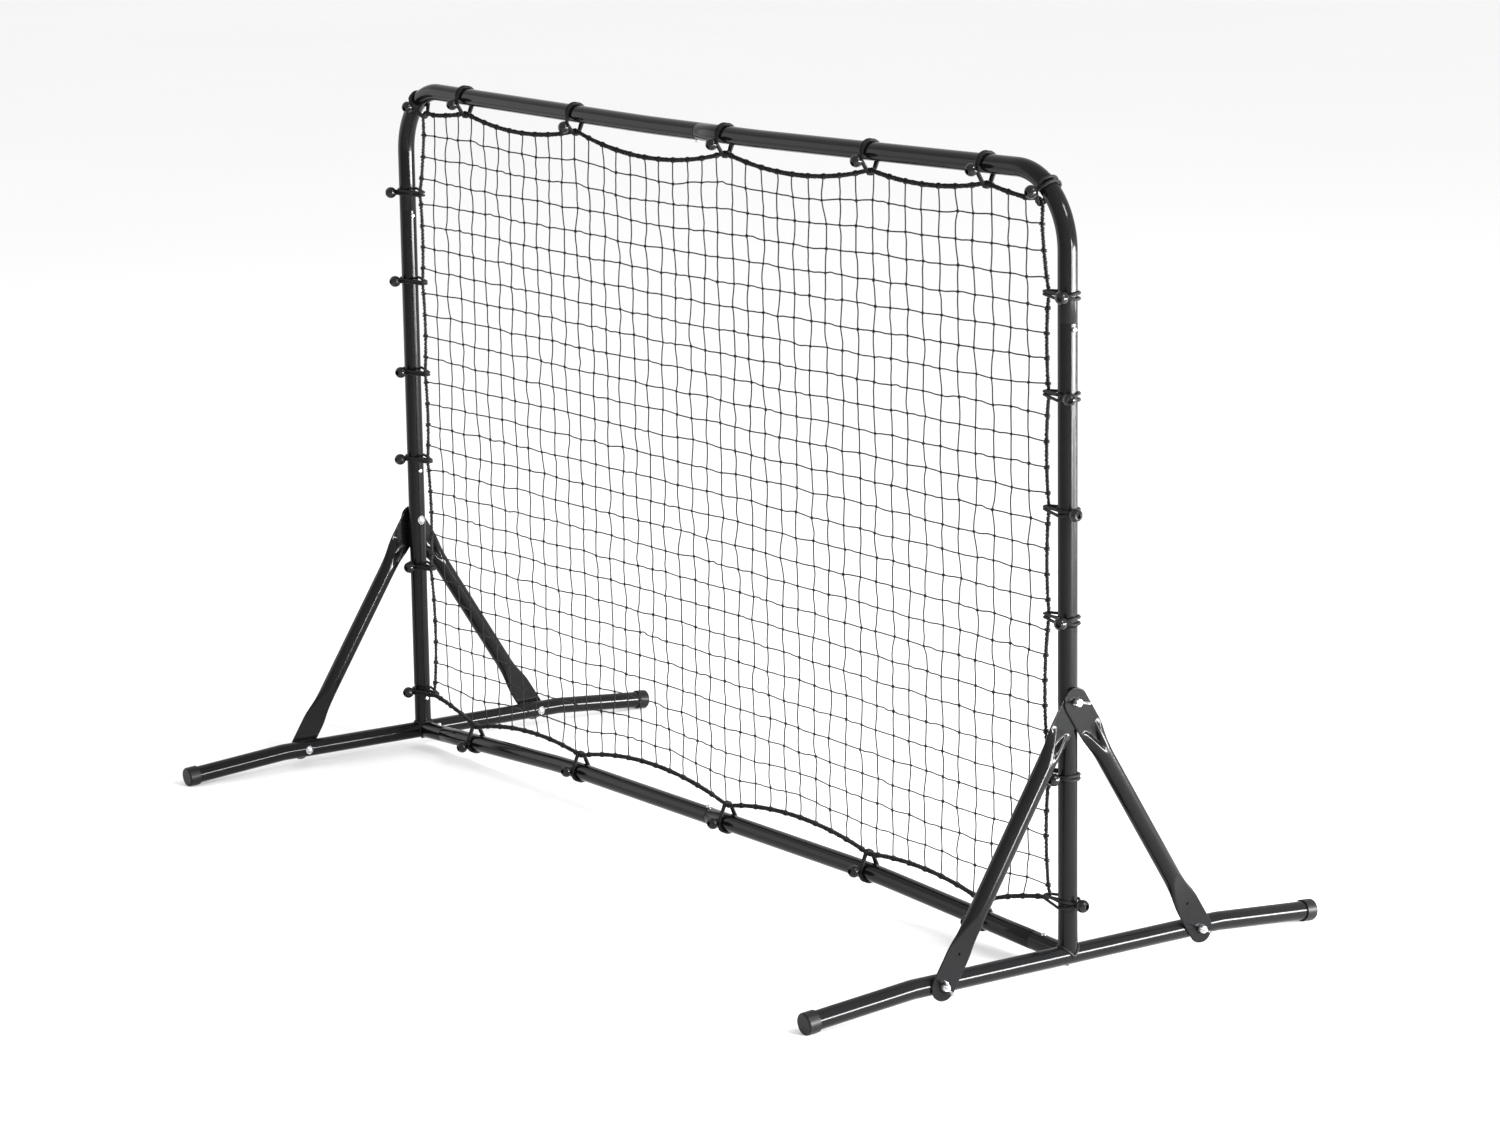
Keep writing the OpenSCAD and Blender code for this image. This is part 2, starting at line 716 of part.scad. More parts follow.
module net_border_rope() {
  points = [for (i = [0 : n_route - 1]) for (k = [0 : rope_sides - 1])
    let(a = 360 * k / rope_sides, p = route_inset(i, rope_d / 2 * cos(a)))
    [p[0], rope_d / 2 * sin(a), p[1]]];
  walls = [for (i = [0 : n_route - 1]) for (k = [0 : rope_sides - 1])
    let(
      j = (k + 1) % rope_sides,
      m = (i + 1) % n_route,
      a = i * rope_sides + k,
      b = i * rope_sides + j,
      c = m * rope_sides + k,
      d = m * rope_sides + j
    )
    each [[a, c, b], [b, c, d]]];
  color(twine) polyhedron(points, walls);
}

// The net's plane inside its rope, with a notch round each bungee.
module net_panel() {
  inset = rope_d / 2 + soft_gap;
  notch_r = belt_rope_r + cord_d + soft_gap;
  color(twine) rotate([90, 0, 0]) linear_extrude(net_t, center = true) difference() {
    polygon([for (i = [0 : n_route - 1]) route_inset(i, inset)]);
    for (i = [0 : n_bungees - 1]) translate(caught(i)) circle(r = notch_r);
  }
}

// Outline of a belt round the tube (at the origin) and the rope (reach away along +X).
function belt_outline(grow, reach) =
  let(big = belt_tube_r + grow, small = belt_rope_r + grow, split = acos((big - small) / reach))
  concat(
    [for (k = [0 : 18]) let(a = split + k * (360 - 2 * split) / 18) big * [cos(a), sin(a)]],
    [for (k = [0 : 8]) let(a = -split + k * 2 * split / 8) [reach, 0] + small * [cos(a), sin(a)]]
  );

// A bungee's own frame: +X towards the net, +Y to the front, +Z along the tube.
module at_bungee(a) {
  translate([a[0][0], 0, a[0][1]])
    multmatrix([
      [a[1][0], 0, a[1][1], 0],
      [0, -1, 0, 0],
      [a[1][1], 0, -a[1][0], 0],
      [0, 0, 0, 1]
    ]) children();
}

module bungee_loops() {
  color(twine) for (a = attachments) at_bungee(a)
    linear_extrude(belt_w, center = true) difference() {
      polygon(belt_outline(cord_d, a[3]));
      polygon(belt_outline(0, a[3]));
    }
}

// A ball with a moulded recess in the side that faces +X.
module ball() {
  rotate([0, 90, 0]) rotate_extrude() difference() {
    circle(d = ball_d);
    translate([-ball_d, -ball_d]) square([ball_d, 2 * ball_d]);
    translate([-ball_d, ball_d / 2 - ball_hole_depth])
      square([ball_d + ball_hole_d / 2, ball_d]);
  }
}

// A ball sits on its belt, turned from the front towards the net by its own angle.
module bungee_balls() {
  outer = belt_tube_r + cord_d;
  color(rubber) for (a = attachments) {
    split = acos((outer - belt_rope_r - cord_d) / a[3]);
    past = max(0, a[2] - (90 - split));
    from_axis = (outer + soft_gap + ball_d / 2) / cos(past);
    at_bungee(a) rotate([0, 0, 90 - a[2]]) translate([from_axis, 0, 0]) ball();
  }
}

// ---------- what is drawn ----------

top_corner_left();
top_corner_right();
upright_left_upper();
upright_right_upper();
upright_left_lower();
upright_right_lower();
rail_left();
rail_right();
foot_tube_left();
foot_tube_right();
foot_post_left();
foot_post_right();
rail_stub_left();
rail_stub_right();
end_cap_left_front();
end_cap_left_rear();
end_cap_right_front();
end_cap_right_rear();
brace_left_front();
brace_left_rear();
brace_right_front();
brace_right_rear();
carriage_bolts();
wing_nut_left_top();
wing_nut_left_front();
wing_nut_left_rear();
wing_nut_right_top();
wing_nut_right_front();
wing_nut_right_rear();
snap_button_left_upper();
snap_button_left_middle();
snap_button_left_post();
snap_button_left_stub();
snap_button_right_upper();
snap_button_right_middle();
snap_button_right_post();
snap_button_right_stub();
snap_button_top_centre();
snap_button_rail_centre();
button_springs();
net_panel();
net_border_rope();
bungee_loops();
bungee_balls();
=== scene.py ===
import json
import math

import bpy
import numpy as np
from mathutils import Matrix, Vector


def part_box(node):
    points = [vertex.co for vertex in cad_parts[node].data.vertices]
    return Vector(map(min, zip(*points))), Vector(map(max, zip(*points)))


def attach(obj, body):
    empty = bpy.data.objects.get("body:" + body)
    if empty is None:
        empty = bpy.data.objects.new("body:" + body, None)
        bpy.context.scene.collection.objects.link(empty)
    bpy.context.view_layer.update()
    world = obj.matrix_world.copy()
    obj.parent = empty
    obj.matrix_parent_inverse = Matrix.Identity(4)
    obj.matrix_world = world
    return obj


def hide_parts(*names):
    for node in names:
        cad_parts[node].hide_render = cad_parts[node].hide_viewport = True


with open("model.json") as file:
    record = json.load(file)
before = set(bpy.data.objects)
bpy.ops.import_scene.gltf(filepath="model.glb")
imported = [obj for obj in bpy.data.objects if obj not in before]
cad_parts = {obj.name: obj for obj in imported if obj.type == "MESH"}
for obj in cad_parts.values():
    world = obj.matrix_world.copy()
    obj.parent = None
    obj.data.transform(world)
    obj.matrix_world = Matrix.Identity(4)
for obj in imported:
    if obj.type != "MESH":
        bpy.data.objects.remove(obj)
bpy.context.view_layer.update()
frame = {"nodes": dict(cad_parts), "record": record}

SC = bpy.context.scene
RNG = np.random.default_rng(7)
MM = 0.001

# ---- sizes repeated from the CAD, in metres ----
TUBE_R, WALL, SWAGE_R = 0.0143, 0.0012, 0.0123
HALF_W = 0.9  # from the middle to an upright's axis
RAIL_RISE, RAIL_KNEE = 0.022, 0.43
TOP_DIP, TOP_KNEE = 0.010, 0.15
FRAME_H, CORNER_R, UPPER_SEAM = 1.137, 0.110, 0.924
FOOT_DROP, FOOT_BEND, FOOT_HALF, CAP_D = 0.015, 0.285, 0.472, 0.033
TOE = math.atan(FOOT_DROP / (FOOT_HALF - FOOT_BEND))
AXIS_Z = FOOT_DROP + CAP_D / 2 * math.cos(TOE) - MM  # height of the foot tubes' axis
STUB = 0.076
BRACE_TOP, BRACE_FOOT, BRACE_D, PADDLE_W, PADDLE_T = 0.379, 0.240, 0.028, 0.043, 0.0028
FOLD, NECK, DRAIN_AT, DRAIN_D = 0.045, 0.065, 0.051, 0.004
BUTTON_HOLE = 0.0078
BOLT_D, BOLT_LEN, HEAD_R, HEAD_H, NECK_W, NECK_L = 0.006, 0.044, 0.00725, 0.0036, 0.0062, 0.0022
NUT_GAP = 0.00005
RAIL_TILT = math.atan(RAIL_RISE / (HALF_W - RAIL_KNEE))
TOP_TILT = math.atan(TOP_DIP / (HALF_W - TOP_KNEE))
CORNER_X = HALF_W - CORNER_R
CORNER_FALL = math.cos(TOP_TILT) + (1 + math.sin(TOP_TILT)) * math.tan(TOP_TILT)
CORNER_Z = AXIS_Z + FRAME_H - CORNER_R * CORNER_FALL

# Bungees: [place along its tube in millimetres, turn of its ball in degrees], and each one's reach.
CORD, BALL = 0.0045, 0.0195
TOP_AT = [(-700, 23), (-360, 42), (65, 26), (440, 26), (718, 14)]
RAIL_AT = [(-722, -8), (-388, 8), (42, 5), (420, 8), (700, 0)]
LEFT_AT = [(956, -20), (802, -4), (643, 13), (488, -6), (297, 26), (70, 2)]
RIGHT_AT = [(963, -34), (819, -56), (653, -74), (496, -30), (266, -7), (78, -98)]
CORNER_AT, CORNER_TURN = (56, 52), (20, 12)
HANG_TOP, HANG_RAIL, HANG_SIDE, HANG_CORNER = 0.028, 0.027, 0.042, 0.026


def top_z(x):
    """Height of the top tube's axis, which is level in the middle and rises to the corners."""
    return AXIS_Z + FRAME_H - TOP_DIP + max(0.0, abs(x) - TOP_KNEE) * math.tan(TOP_TILT)


def rail_z(x):
    """Height of the rail's axis, which is level in the middle and falls to the feet."""
    return AXIS_Z + RAIL_RISE - max(0.0, abs(x) - RAIL_KNEE) * math.tan(RAIL_TILT)


# ---- camera, at the photograph's angle ----
def aim(cam, azimuth, elevation, roll):
    """Turns the camera, in degrees. Azimuth 0 looks along +Y."""
    a, e, r = (math.radians(v) for v in (azimuth, elevation, roll))
    back = Vector((math.sin(a) * math.cos(e), -math.cos(a) * math.cos(e), math.sin(e)))
    right = Vector((math.cos(a), math.sin(a), 0))
    up = back.cross(right)
    x = math.cos(r) * right + math.sin(r) * up
    y = -math.sin(r) * right + math.cos(r) * up
    cam.matrix_world = Matrix.Translation(cam.location) @ Matrix((x, y, back)).transposed().to_4x4()


cam_data = bpy.data.cameras.new("camera")
cam_data.lens, cam_data.sensor_width = 106.18, 36
cam_data.clip_start, cam_data.clip_end = 0.1, 60
camera = bpy.data.objects.new("camera", cam_data)
SC.collection.objects.link(camera)
SC.camera = camera
camera.location = (5.689, -3.928, 1.823 + AXIS_Z)
aim(camera, 54.83, 11.32, -0.84)


# ---- materials ----
class Nodes:
    """A short way to write a material's nodes."""

    def __init__(self, name):
        self.mat = bpy.data.materials.new(name)
        self.mat.use_nodes = True
        self.t = self.mat.node_tree
        self.b = self.t.nodes["Principled BSDF"]

    def add(self, kind, **inputs):
        """A node. A name with _ first sets the node itself, and __ in a socket's name is a space."""
        n = self.t.nodes.new(kind)
        for k, v in inputs.items():
            if k.startswith("_"):
                setattr(n, k[1:], v)
            else:
                self.put(n.inputs[k.replace("__", " ")], v)
        return n

    def put(self, socket, v):
        if isinstance(v, bpy.types.NodeSocket):
            self.t.links.new(v, socket)
        else:
            socket.default_value = v

    def set(self, **inputs):
        for k, v in inputs.items():
            self.put(self.b.inputs[k.replace("__", " ")], v)

    def ramp(self, fac, *stops):
        """Grey levels between stops of (position, level)."""
        n = self.t.nodes.new("ShaderNodeValToRGB")
        self.put(n.inputs["Fac"], fac)
        e = n.color_ramp.elements
        while len(e) < len(stops):
            e.new(0.5)
        for el, (p, c) in zip(e, stops):
            el.position = p
            el.color = (c, c, c, 1)
        return n.outputs["Color"]

    def scaled(self, value, low, high):
        n = self.add("ShaderNodeMapRange", Value=value, To__Min=low, To__Max=high)
        return n.outputs["Result"]

    def place(self, stretch=(1, 1, 1)):
        """Coordinates in metres, stretched."""
        c = self.add("ShaderNodeTexCoord").outputs["Object"]
        return self.add("ShaderNodeMapping", Vector=c, Scale=stretch).outputs["Vector"]

    def noise(self, vector, scale, detail=3.0, rough=0.55):
        n = self.add("ShaderNodeTexNoise", Vector=vector, Scale=scale, Detail=detail, Roughness=rough)
        return n.outputs["Fac"]

    def math(self, operation, *values):
        n = self.add("ShaderNodeMath", _operation=operation)
        for socket, v in zip(n.inputs, values):
            self.put(socket, v)
        return n.outputs[0]

    def bump(self, height, strength, distance, normal=None):
        n = self.add("ShaderNodeBump", Height=height, Strength=strength, Distance=distance)
        if normal is not None:
            self.put(n.inputs["Normal"], normal)
        return n.outputs["Normal"]


def mix(m, fac, a, b):
    """A colour between a and b, each a plain colour or a socket."""
    n = m.add("ShaderNodeMix", _data_type="RGBA")
    for s, v in zip((n.inputs[0], n.inputs[6], n.inputs[7]), (fac, a, b)):
        m.put(s, (*v, 1) if isinstance(v, tuple) else v)
    return n.outputs[2]


def paint():
    """Glossy black paint with dust and scuffs."""
    m = Nodes("black_paint")
    p = m.place()
    big, fine, specks = m.noise(p, 9), m.noise(p, 900, 2), m.noise(p, 240, 4, 0.7)
    base = mix(m, big, (0.0034, 0.0035, 0.0037), (0.0060, 0.0061, 0.0065))
    dust = m.ramp(specks, (0.60, 0.0), (0.74, 1.0))
    base = mix(m, m.scaled(dust, 0, 0.22), base, (0.020, 0.020, 0.021))
    scuff = m.ramp(m.noise(m.place((1, 1, 6)), 38, 6, 0.8), (0.66, 0.0), (0.72, 1.0))
    base = mix(m, m.scaled(scuff, 0, 0.30), base, (0.028, 0.028, 0.030))
    m.set(Base__Color=base, Roughness=m.scaled(big, 0.085, 0.145), Specular__IOR__Level=0.13)
    n = m.bump(m.noise(p, 420, 2), 0.10, 0.00025)
    m.set(Normal=m.bump(fine, 0.08, 0.0001, n))
    return m.mat


def zinc(name, base_a, base_b, rough_a, rough_b, metallic=1.0, level=0.5):
    """Plated or bare metal, clouded and finely grained."""
    m = Nodes(name)
    p = m.place()
    grain, cloud = m.noise(p, 1500, 3), m.noise(p, 160, 3)
    base = mix(m, cloud, base_a, base_b)
    m.set(Base__Color=base, Metallic=metallic, Specular__IOR__Level=level,
          Roughness=m.scaled(cloud, rough_a, rough_b))
    m.set(Normal=m.bump(grain, 0.25, 0.00006, m.bump(cloud, 0.25, 0.0002)))
    return m.mat


def moulded(name, dark, light, rough_a, rough_b, grain_scale, grain_depth, level):
    """Moulded plastic with a fine grain."""
    m = Nodes(name)
    p = m.place()
    cloud, grain = m.noise(p, 60, 3), m.noise(p, grain_scale, 2)
    m.set(Base__Color=mix(m, cloud, dark, light), Roughness=m.scaled(cloud, rough_a, rough_b),
          Specular__IOR__Level=level)
    m.set(Normal=m.bump(grain, 0.3, grain_depth))
    return m.mat


def fibre(name, dark, light, turns, pitch, depth, fuzz, braided=False):
    """Twisted or braided fibre, with painted shade: darker in the grooves between strands and lighter on
    their crests, varied by random lint. The UV map runs round (0 to 1) and along, in metres.
    """
    m = Nodes(name)
    uv = m.add("ShaderNodeUVMap").outputs["UV"]
    xyz = m.add("ShaderNodeSeparateXYZ", Vector=uv)
    u, v = xyz.outputs["X"], xyz.outputs["Y"]

    def wave(direction):
        """A sine that climbs the strand one way round."""
        round_it = m.math("MULTIPLY", u, float(turns) * direction)
        phase = m.math("MULTIPLY_ADD", v, 1.0 / pitch, round_it)
        return m.math("SINE", m.math("MULTIPLY", phase, 2 * math.pi))

    h = m.math("MULTIPLY", wave(1), wave(-1)) if braided else wave(1)
    strands = m.add("ShaderNodeMapRange", Value=h)
    m.put(strands.inputs["From Min"], -1.0)
    strands = strands.outputs["Result"]
    lint = m.noise(m.place(), 2600, 4, 0.7)
    # painted shade: the colour follows the strands' height, dark in the grooves and light on the crests,
    # times random lint
    groove_shade_and_lint = m.math("MULTIPLY", strands, m.scaled(lint, 0.4, 1.5))
    m.set(Base__Color=mix(m, groove_shade_and_lint, dark, light), Roughness=0.62, Sheen__Weight=fuzz,
          Sheen__Roughness=0.45, Specular__IOR__Level=0.16)
    n = m.bump(strands, 0.9, depth)
    m.set(Normal=m.bump(lint, 0.5, depth * 0.35, n))
    return m.mat


PAINT = paint()
ZINC = zinc("zinc_plate", (0.42, 0.43, 0.44), (0.56, 0.57, 0.58), 0.22, 0.36)
SPRING = zinc("spring_steel", (0.42, 0.43, 0.44), (0.55, 0.55, 0.56), 0.28, 0.40)
CAP = moulded("cap_plastic", (0.0045, 0.0045, 0.0049), (0.0075, 0.0075, 0.0080), 0.34, 0.44,
              1100, 0.00012, 0.16)
BALL_MAT = moulded("ball_plastic", (0.003, 0.003, 0.0033), (0.005, 0.005, 0.0055), 0.12, 0.20,
                   700, 0.00004, 0.30)
TWINE = fibre("net_twine", (0.002, 0.002, 0.0022), (0.007, 0.007, 0.0075), 2, 0.0042, 0.0003, 0.08)
ROPE_MAT = fibre("border_rope", (0.002, 0.002, 0.0022), (0.006, 0.006, 0.0065), 2, 0.0040, 0.0004, 0.12)
ELASTIC = fibre("elastic_cord", (0.0025, 0.0025, 0.0027), (0.008, 0.008, 0.0085), 6, 0.0052, 0.0001,
                0.04, braided=True)
WELD = zinc("weld_bead", (0.006, 0.006, 0.0065), (0.011, 0.011, 0.012), 0.28, 0.42, 0.0, 0.13)
SLOT_MAT = {
    "black_paint": PAINT, "zinc": ZINC, "spring_steel": SPRING, "cap_plastic": CAP,
    "ball_plastic": BALL_MAT, "net_twine": TWINE, "border_rope": ROPE_MAT, "elastic_cord": ELASTIC,
}


# ---- mesh building ----
def make(name, verts, faces, mat, body="frame", replaces=(), uvs=None, sharp=None):
    """A piece on its body, with its material and the CAD nodes that it stands for."""
    me = bpy.data.meshes.new(name)
    me.from_pydata(np.asarray(verts, float).tolist(), [], faces)
    if uvs is not None:
        layer = me.uv_layers.new(name="UVMap")
        layer.data.foreach_set("uv", np.asarray(uvs, np.float32).ravel())
    me.shade_smooth()
    if sharp is not None:
        me.set_sharp_from_angle(angle=math.radians(sharp))
    me.materials.append(mat)
    me.update()
    o = bpy.data.objects.new(name, me)
    SC.collection.objects.link(o)
    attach(o, body)
    if replaces:
        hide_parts(*replaces)
    return o


def grid(rows, sides, closed=False):
    """Quads between rows of points, each row a closed ring of that many sides."""
    i, j = np.meshgrid(np.arange(rows if closed else rows - 1), np.arange(sides), indexing="ij")
    i2, j2 = (i + 1) % rows, (j + 1) % sides
    return np.stack([i * sides + j, i * sides + j2, i2 * sides + j2, i2 * sides + j], -1).reshape(-1, 4)


def ends(rows, sides):
    """The two faces that close a grid's ends, facing out along it."""
    return [list(range(sides))[::-1], [(rows - 1) * sides + k for k in range(sides)]]


def drill(o, holes):
    """Cuts round holes, each [line, radius, sides], out of o's mesh."""
    tools = []
    for line, radius, sides in holes:
        v, q, _, caps = sweep(line, radius, sides)
        me = bpy.data.meshes.new("cut")
        me.from_pydata(v.tolist(), [], q.tolist() + caps)
        tool = bpy.data.objects.new("cut", me)
        SC.collection.objects.link(tool)
        mod = o.modifiers.new("cut", "BOOLEAN")
        mod.object, mod.operation, mod.solver = tool, "DIFFERENCE", "EXACT"
        tools.append(tool)
    bpy.context.view_layer.update()
    done = bpy.data.meshes.new_from_object(o.evaluated_get(bpy.context.evaluated_depsgraph_get()))
    o.modifiers.clear()
    o.data = done
    for tool in tools:
        bpy.data.objects.remove(tool)


def crisp(o, angle):
    """Smooth shading, but sharp where faces meet at more than the angle."""
    o.data.shade_smooth()
    o.data.set_sharp_from_angle(angle=math.radians(angle))


def frames(path, closed, start=None):
    """Tangents and two cross directions down a path, turned as little as possible."""
    if closed:
        t = np.roll(path, -1, 0) - np.roll(path, 1, 0)
    else:
        t = np.gradient(path, axis=0)
    t /= np.linalg.norm(t, axis=1)[:, None]
    n = np.zeros_like(t)
    a = np.array(start if start is not None else ((0, 0, 1) if abs(t[0][2]) < 0.9 else (0, 1, 0)), float)
    for i in range(len(t)):
        a = a - t[i] * (a @ t[i])
        a /= np.linalg.norm(a)
        n[i] = a
    b = np.cross(t, n)
    if closed:  # spread the leftover turn along the whole loop
        last = n[-1] - t[0] * (n[-1] @ t[0])
        turn = math.atan2(last @ b[0], last @ n[0])
        w = -turn * np.arange(len(t)) / len(t)
        c, s = np.cos(w)[:, None], np.sin(w)[:, None]
        n, b = n * c + b * s, b * c - n * s
    return t, n, b


def sweep(path, radius, sides, closed=False, start=None):
    """A tube along a path: points, quad faces and UVs (round, along). Ends are capped."""
    path = np.asarray(path, float)
    m = len(path)
    _, n, b = frames(path, closed, start)
    a = 2 * math.pi * np.arange(sides) / sides
    r = np.broadcast_to(np.asarray(radius, float), (m,))
    ring = np.cos(a)[None, :, None] * n[:, None] + np.sin(a)[None, :, None] * b[:, None]
    verts = (path[:, None] + ring * r[:, None, None]).reshape(-1, 3)
    along = np.concatenate([[0], np.cumsum(np.linalg.norm(np.diff(path, axis=0), axis=1))])
    quads = grid(m, sides, closed)
    i, j = np.divmod(quads[:, 0], sides)
    end = along[-1] + np.linalg.norm(path[0] - path[-1]) if closed else 0
    far = np.where(i + 1 < m, along[np.minimum(i + 1, m - 1)], end)
    left, right = j / sides, (j + 1) / sides
    uv = np.stack([left, along[i], right, along[i], right, far, left, far], -1).reshape(-1, 4, 2)
    return verts, quads, uv, [] if closed else ends(m, sides)


def gather(parts):
    """Joins sweeps into one mesh's points, faces and UVs."""
    vs, fs, us, base = [], [], [], 0
    for v, q, uv, caps in parts:
        vs.append(v)
        fs += (q + base).tolist()
        us.append(uv.reshape(-1, 2))
        for c in caps:
            fs.append([k + base for k in c])
            us.append(np.zeros((len(c), 2)))
        base += len(v)
    return np.concatenate(vs), fs, np.concatenate(us)


def smooth_line(points, step, closed=False):
    """A Catmull-Rom curve through the points, sampled about step apart."""
    p = np.asarray(points, float)
    n = len(p)
    out = []
    for i in range(n if closed else n - 1):
        if closed:
            a, b, c, d = p[i - 1], p[i], p[(i + 1) % n], p[(i + 2) % n]
        else:
            a, b, c, d = p[max(i - 1, 0)], p[i], p[i + 1], p[min(i + 2, n - 1)]
        k = max(2, int(round(np.linalg.norm(c - b) / step)))
        t = (np.arange(k) / k)[:, None]
        square, cube = 2 * a - 5 * b + 4 * c - d, 3 * b - a - 3 * c + d
        out.append(0.5 * (2 * b + (c - a) * t + square * t**2 + cube * t**3))
    if not closed:
        out.append(p[-1:])
    return np.concatenate(out)


# ---- the CAD nodes that stay: materials and shading ----
slot_of = {s["node"]: s["material_slot"] for s in frame["record"]["subparts"]}
for name, o in frame["nodes"].items():
    o.data.materials.clear()
    o.data.materials.append(SLOT_MAT[slot_of[name]])
    crisp(o, 32)


def tube(node, path, radii, cuts=(), start=(0, 1, 0), sides=64):
    """A painted tube with a wall, its outer radius given at each point of its path. Each cut is a
    button's hole: a point on the axis and the way out."""
    path, radii = np.asarray(path, float), np.asarray(radii, float)
    out = sweep(path, radii, sides, start=start)
    inn = sweep(path, radii - WALL, sides, start=start)
    m, n0 = len(path), len(out[0])
    faces = out[1].tolist() + (inn[1][:, ::-1] + n0).tolist()
    for i, flip in ((0, False), (m - 1, True)):
        for j in range(sides):
            a, b = i * sides + j, i * sides + (j + 1) % sides
            q = [a, n0 + a, n0 + b, b]
            faces.append(q[::-1] if flip else q)
    verts = np.concatenate([out[0], inn[0]])
    o = make("tube_" + node, verts, faces, PAINT, replaces=(node,))
    if cuts:
        near, far = 0.009, 0.018
        cuts = [(np.array(at, float), np.array(way, float)) for at, way in cuts]
        drill(o, [([at + way * near, at + way * far], BUTTON_HOLE / 2, 40) for at, way in cuts])
    crisp(o, 35)


def button_place(node):
    """The middle of a snap button's box."""
    a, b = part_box(node)
    return (a + b) / 2


def arc(cx, cz, r, start, stop, step=2.5):
    """Points round a circle in the frame's plane, from one angle to another, in degrees."""
    n = max(2, int(abs(stop - start) / step))
    a = np.radians(np.linspace(start, stop, n + 1))
    return np.stack([cx + r * np.cos(a), np.zeros(n + 1), cz + r * np.sin(a)], 1)


SWAGE_LEN = 0.060
SEAM_X = float(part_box("top_corner_left")[1][0])  # the middle joint, in the top tube and the rail


def swage(tip_way, end):
    """Points and radii of a reduced end, from the full tube's edge out to the tip."""
    way = np.array(tip_way, float)
    steps = [(0.0001, TUBE_R - 0.0007), (0.005, SWAGE_R), (SWAGE_LEN - 0.002, SWAGE_R),
             (SWAGE_LEN, SWAGE_R - 0.0006)]
    return [end + way * d for d, _ in steps], [r for _, r in steps]


def dense(a, b, places=(), step=0.05):
    """Points from a to b, close together near the given distances along it."""
    a, b = np.array(a, float), np.array(b, float)
    L = np.linalg.norm(b - a)
    d = set(np.linspace(0, L, max(2, int(L / step)) + 1).round(6))
    for p in places:
        d |= {round(p + k * 0.002, 6) for k in range(-5, 6) if 0 < p + k * 0.002 < L}
    d |= {0.0006, round(L - 0.0006, 6)}
    return np.array([a + (b - a) * x / L for x in sorted(d)])


EDGE_EASE = 0.0003  # how much a tube's cut edge is rounded
TOP_BOW_R, RAIL_BOW_R, FOOT_BOW_R = 6.0, 2.5, 0.150  # radii of the gentle bends


def joined(side, path, end_way, node):
    """A half tube's path and radii with its swaged ends: one at its far end, and on the right half one
    into the middle joint. The left half is mirrored and has the middle joint's button hole."""
    p, r = path, np.full(len(path), TUBE_R)
    r[0] = r[-1] = TUBE_R - EDGE_EASE
    sp, sr = swage(end_way, p[-1])
    p, r = np.concatenate([p, sp]), np.concatenate([r, sr])
    if side > 0:
        sp, sr = swage((-1, 0, 0), p[0])
        p, r = np.concatenate([sp[::-1], p]), np.concatenate([sr[::-1], r])
    else:
        p = p * (-1, 1, 1)
    return node + ("_right" if side > 0 else "_left"), p, r


def top_half(side):
    """Half of the top tube, its corner bend and its leg down to the seam."""
    t, z = TOP_TILT, top_z(0)
    button = float(button_place("snap_button_top_centre")[0])
    near = [abs(button - SEAM_X)] if side < 0 else []
    level = TOP_KNEE - TOP_BOW_R * math.tan(t / 2)
    pts = [dense((SEAM_X * side, 0, z), (level, 0, z), near)]
    pts.append(arc(level, z + TOP_BOW_R, TOP_BOW_R, -90, math.degrees(t) - 90, 0.2)[1:])
    bend = arc(CORNER_X, CORNER_Z, CORNER_R, 90 + math.degrees(t), 0)
    pts.append(dense(pts[-1][-1], bend[0])[1:-1])
    pts.append(bend)
    pts.append(dense((HALF_W, 0, CORNER_Z), (HALF_W, 0, AXIS_Z + UPPER_SEAM))[1:])
    cuts = [((button, 0, z), (0, 0, -1))] if side < 0 else []
    tube(*joined(side, np.concatenate(pts), (0, 0, -1), "top_corner"), cuts)


def rail_half(side):
    """Half of the bottom rail: level at the middle, then falling to the stub's seam."""
    t, z = RAIL_TILT, rail_z(0)
    button = float(button_place("snap_button_rail_centre")[0])
    near = [abs(button - SEAM_X)] if side < 0 else []
    level = RAIL_KNEE - RAIL_BOW_R * math.tan(t / 2)
    pts = [dense((SEAM_X * side, 0, z), (level, 0, z), near)]
    pts.append(arc(level, z - RAIL_BOW_R, RAIL_BOW_R, 90, 90 - math.degrees(t), 0.25)[1:])
    end = np.array([HALF_W - STUB * math.cos(t), 0, AXIS_Z + STUB * math.sin(t)])
    pts.append(dense(pts[-1][-1], end)[1:])
    cuts = [((button, 0, z), (0, 0, 1))] if side < 0 else []
    tube(*joined(side, np.concatenate(pts), (math.cos(t), 0, -math.sin(t)), "rail"), cuts)


def foot(side):
    """A foot tube, its toes bent down. Its ends are inside the caps."""
    r, inside_cap = FOOT_BOW_R, 0.003
    tangent = r * math.tan(TOE / 2)
    half = [dense((0, 0, 0), (FOOT_BEND - tangent, 0, 0))]
    half.append(arc(FOOT_BEND - tangent, -r, r, 90, 90 - math.degrees(TOE), 0.6)[1:])
    toe = (FOOT_HALF - FOOT_BEND) / math.cos(TOE) - tangent - inside_cap
    a = half[-1][-1]
    half.append(dense(a, a + np.array([math.cos(TOE), 0, -math.sin(TOE)]) * toe)[1:])
    h = np.concatenate(half)[:, [1, 0, 2]]
    p = np.concatenate([h[:0:-1] * (1, -1, 1), h]) + (side * HALF_W, 0, AXIS_Z)
    name = "foot_tube_right" if side > 0 else "foot_tube_left"
    tube(name, p, np.full(len(p), TUBE_R), start=(0, 0, 1))


for side in (-1, 1):
    top_half(side)
for side in (-1, 1):
    rail_half(side)
    foot(side)


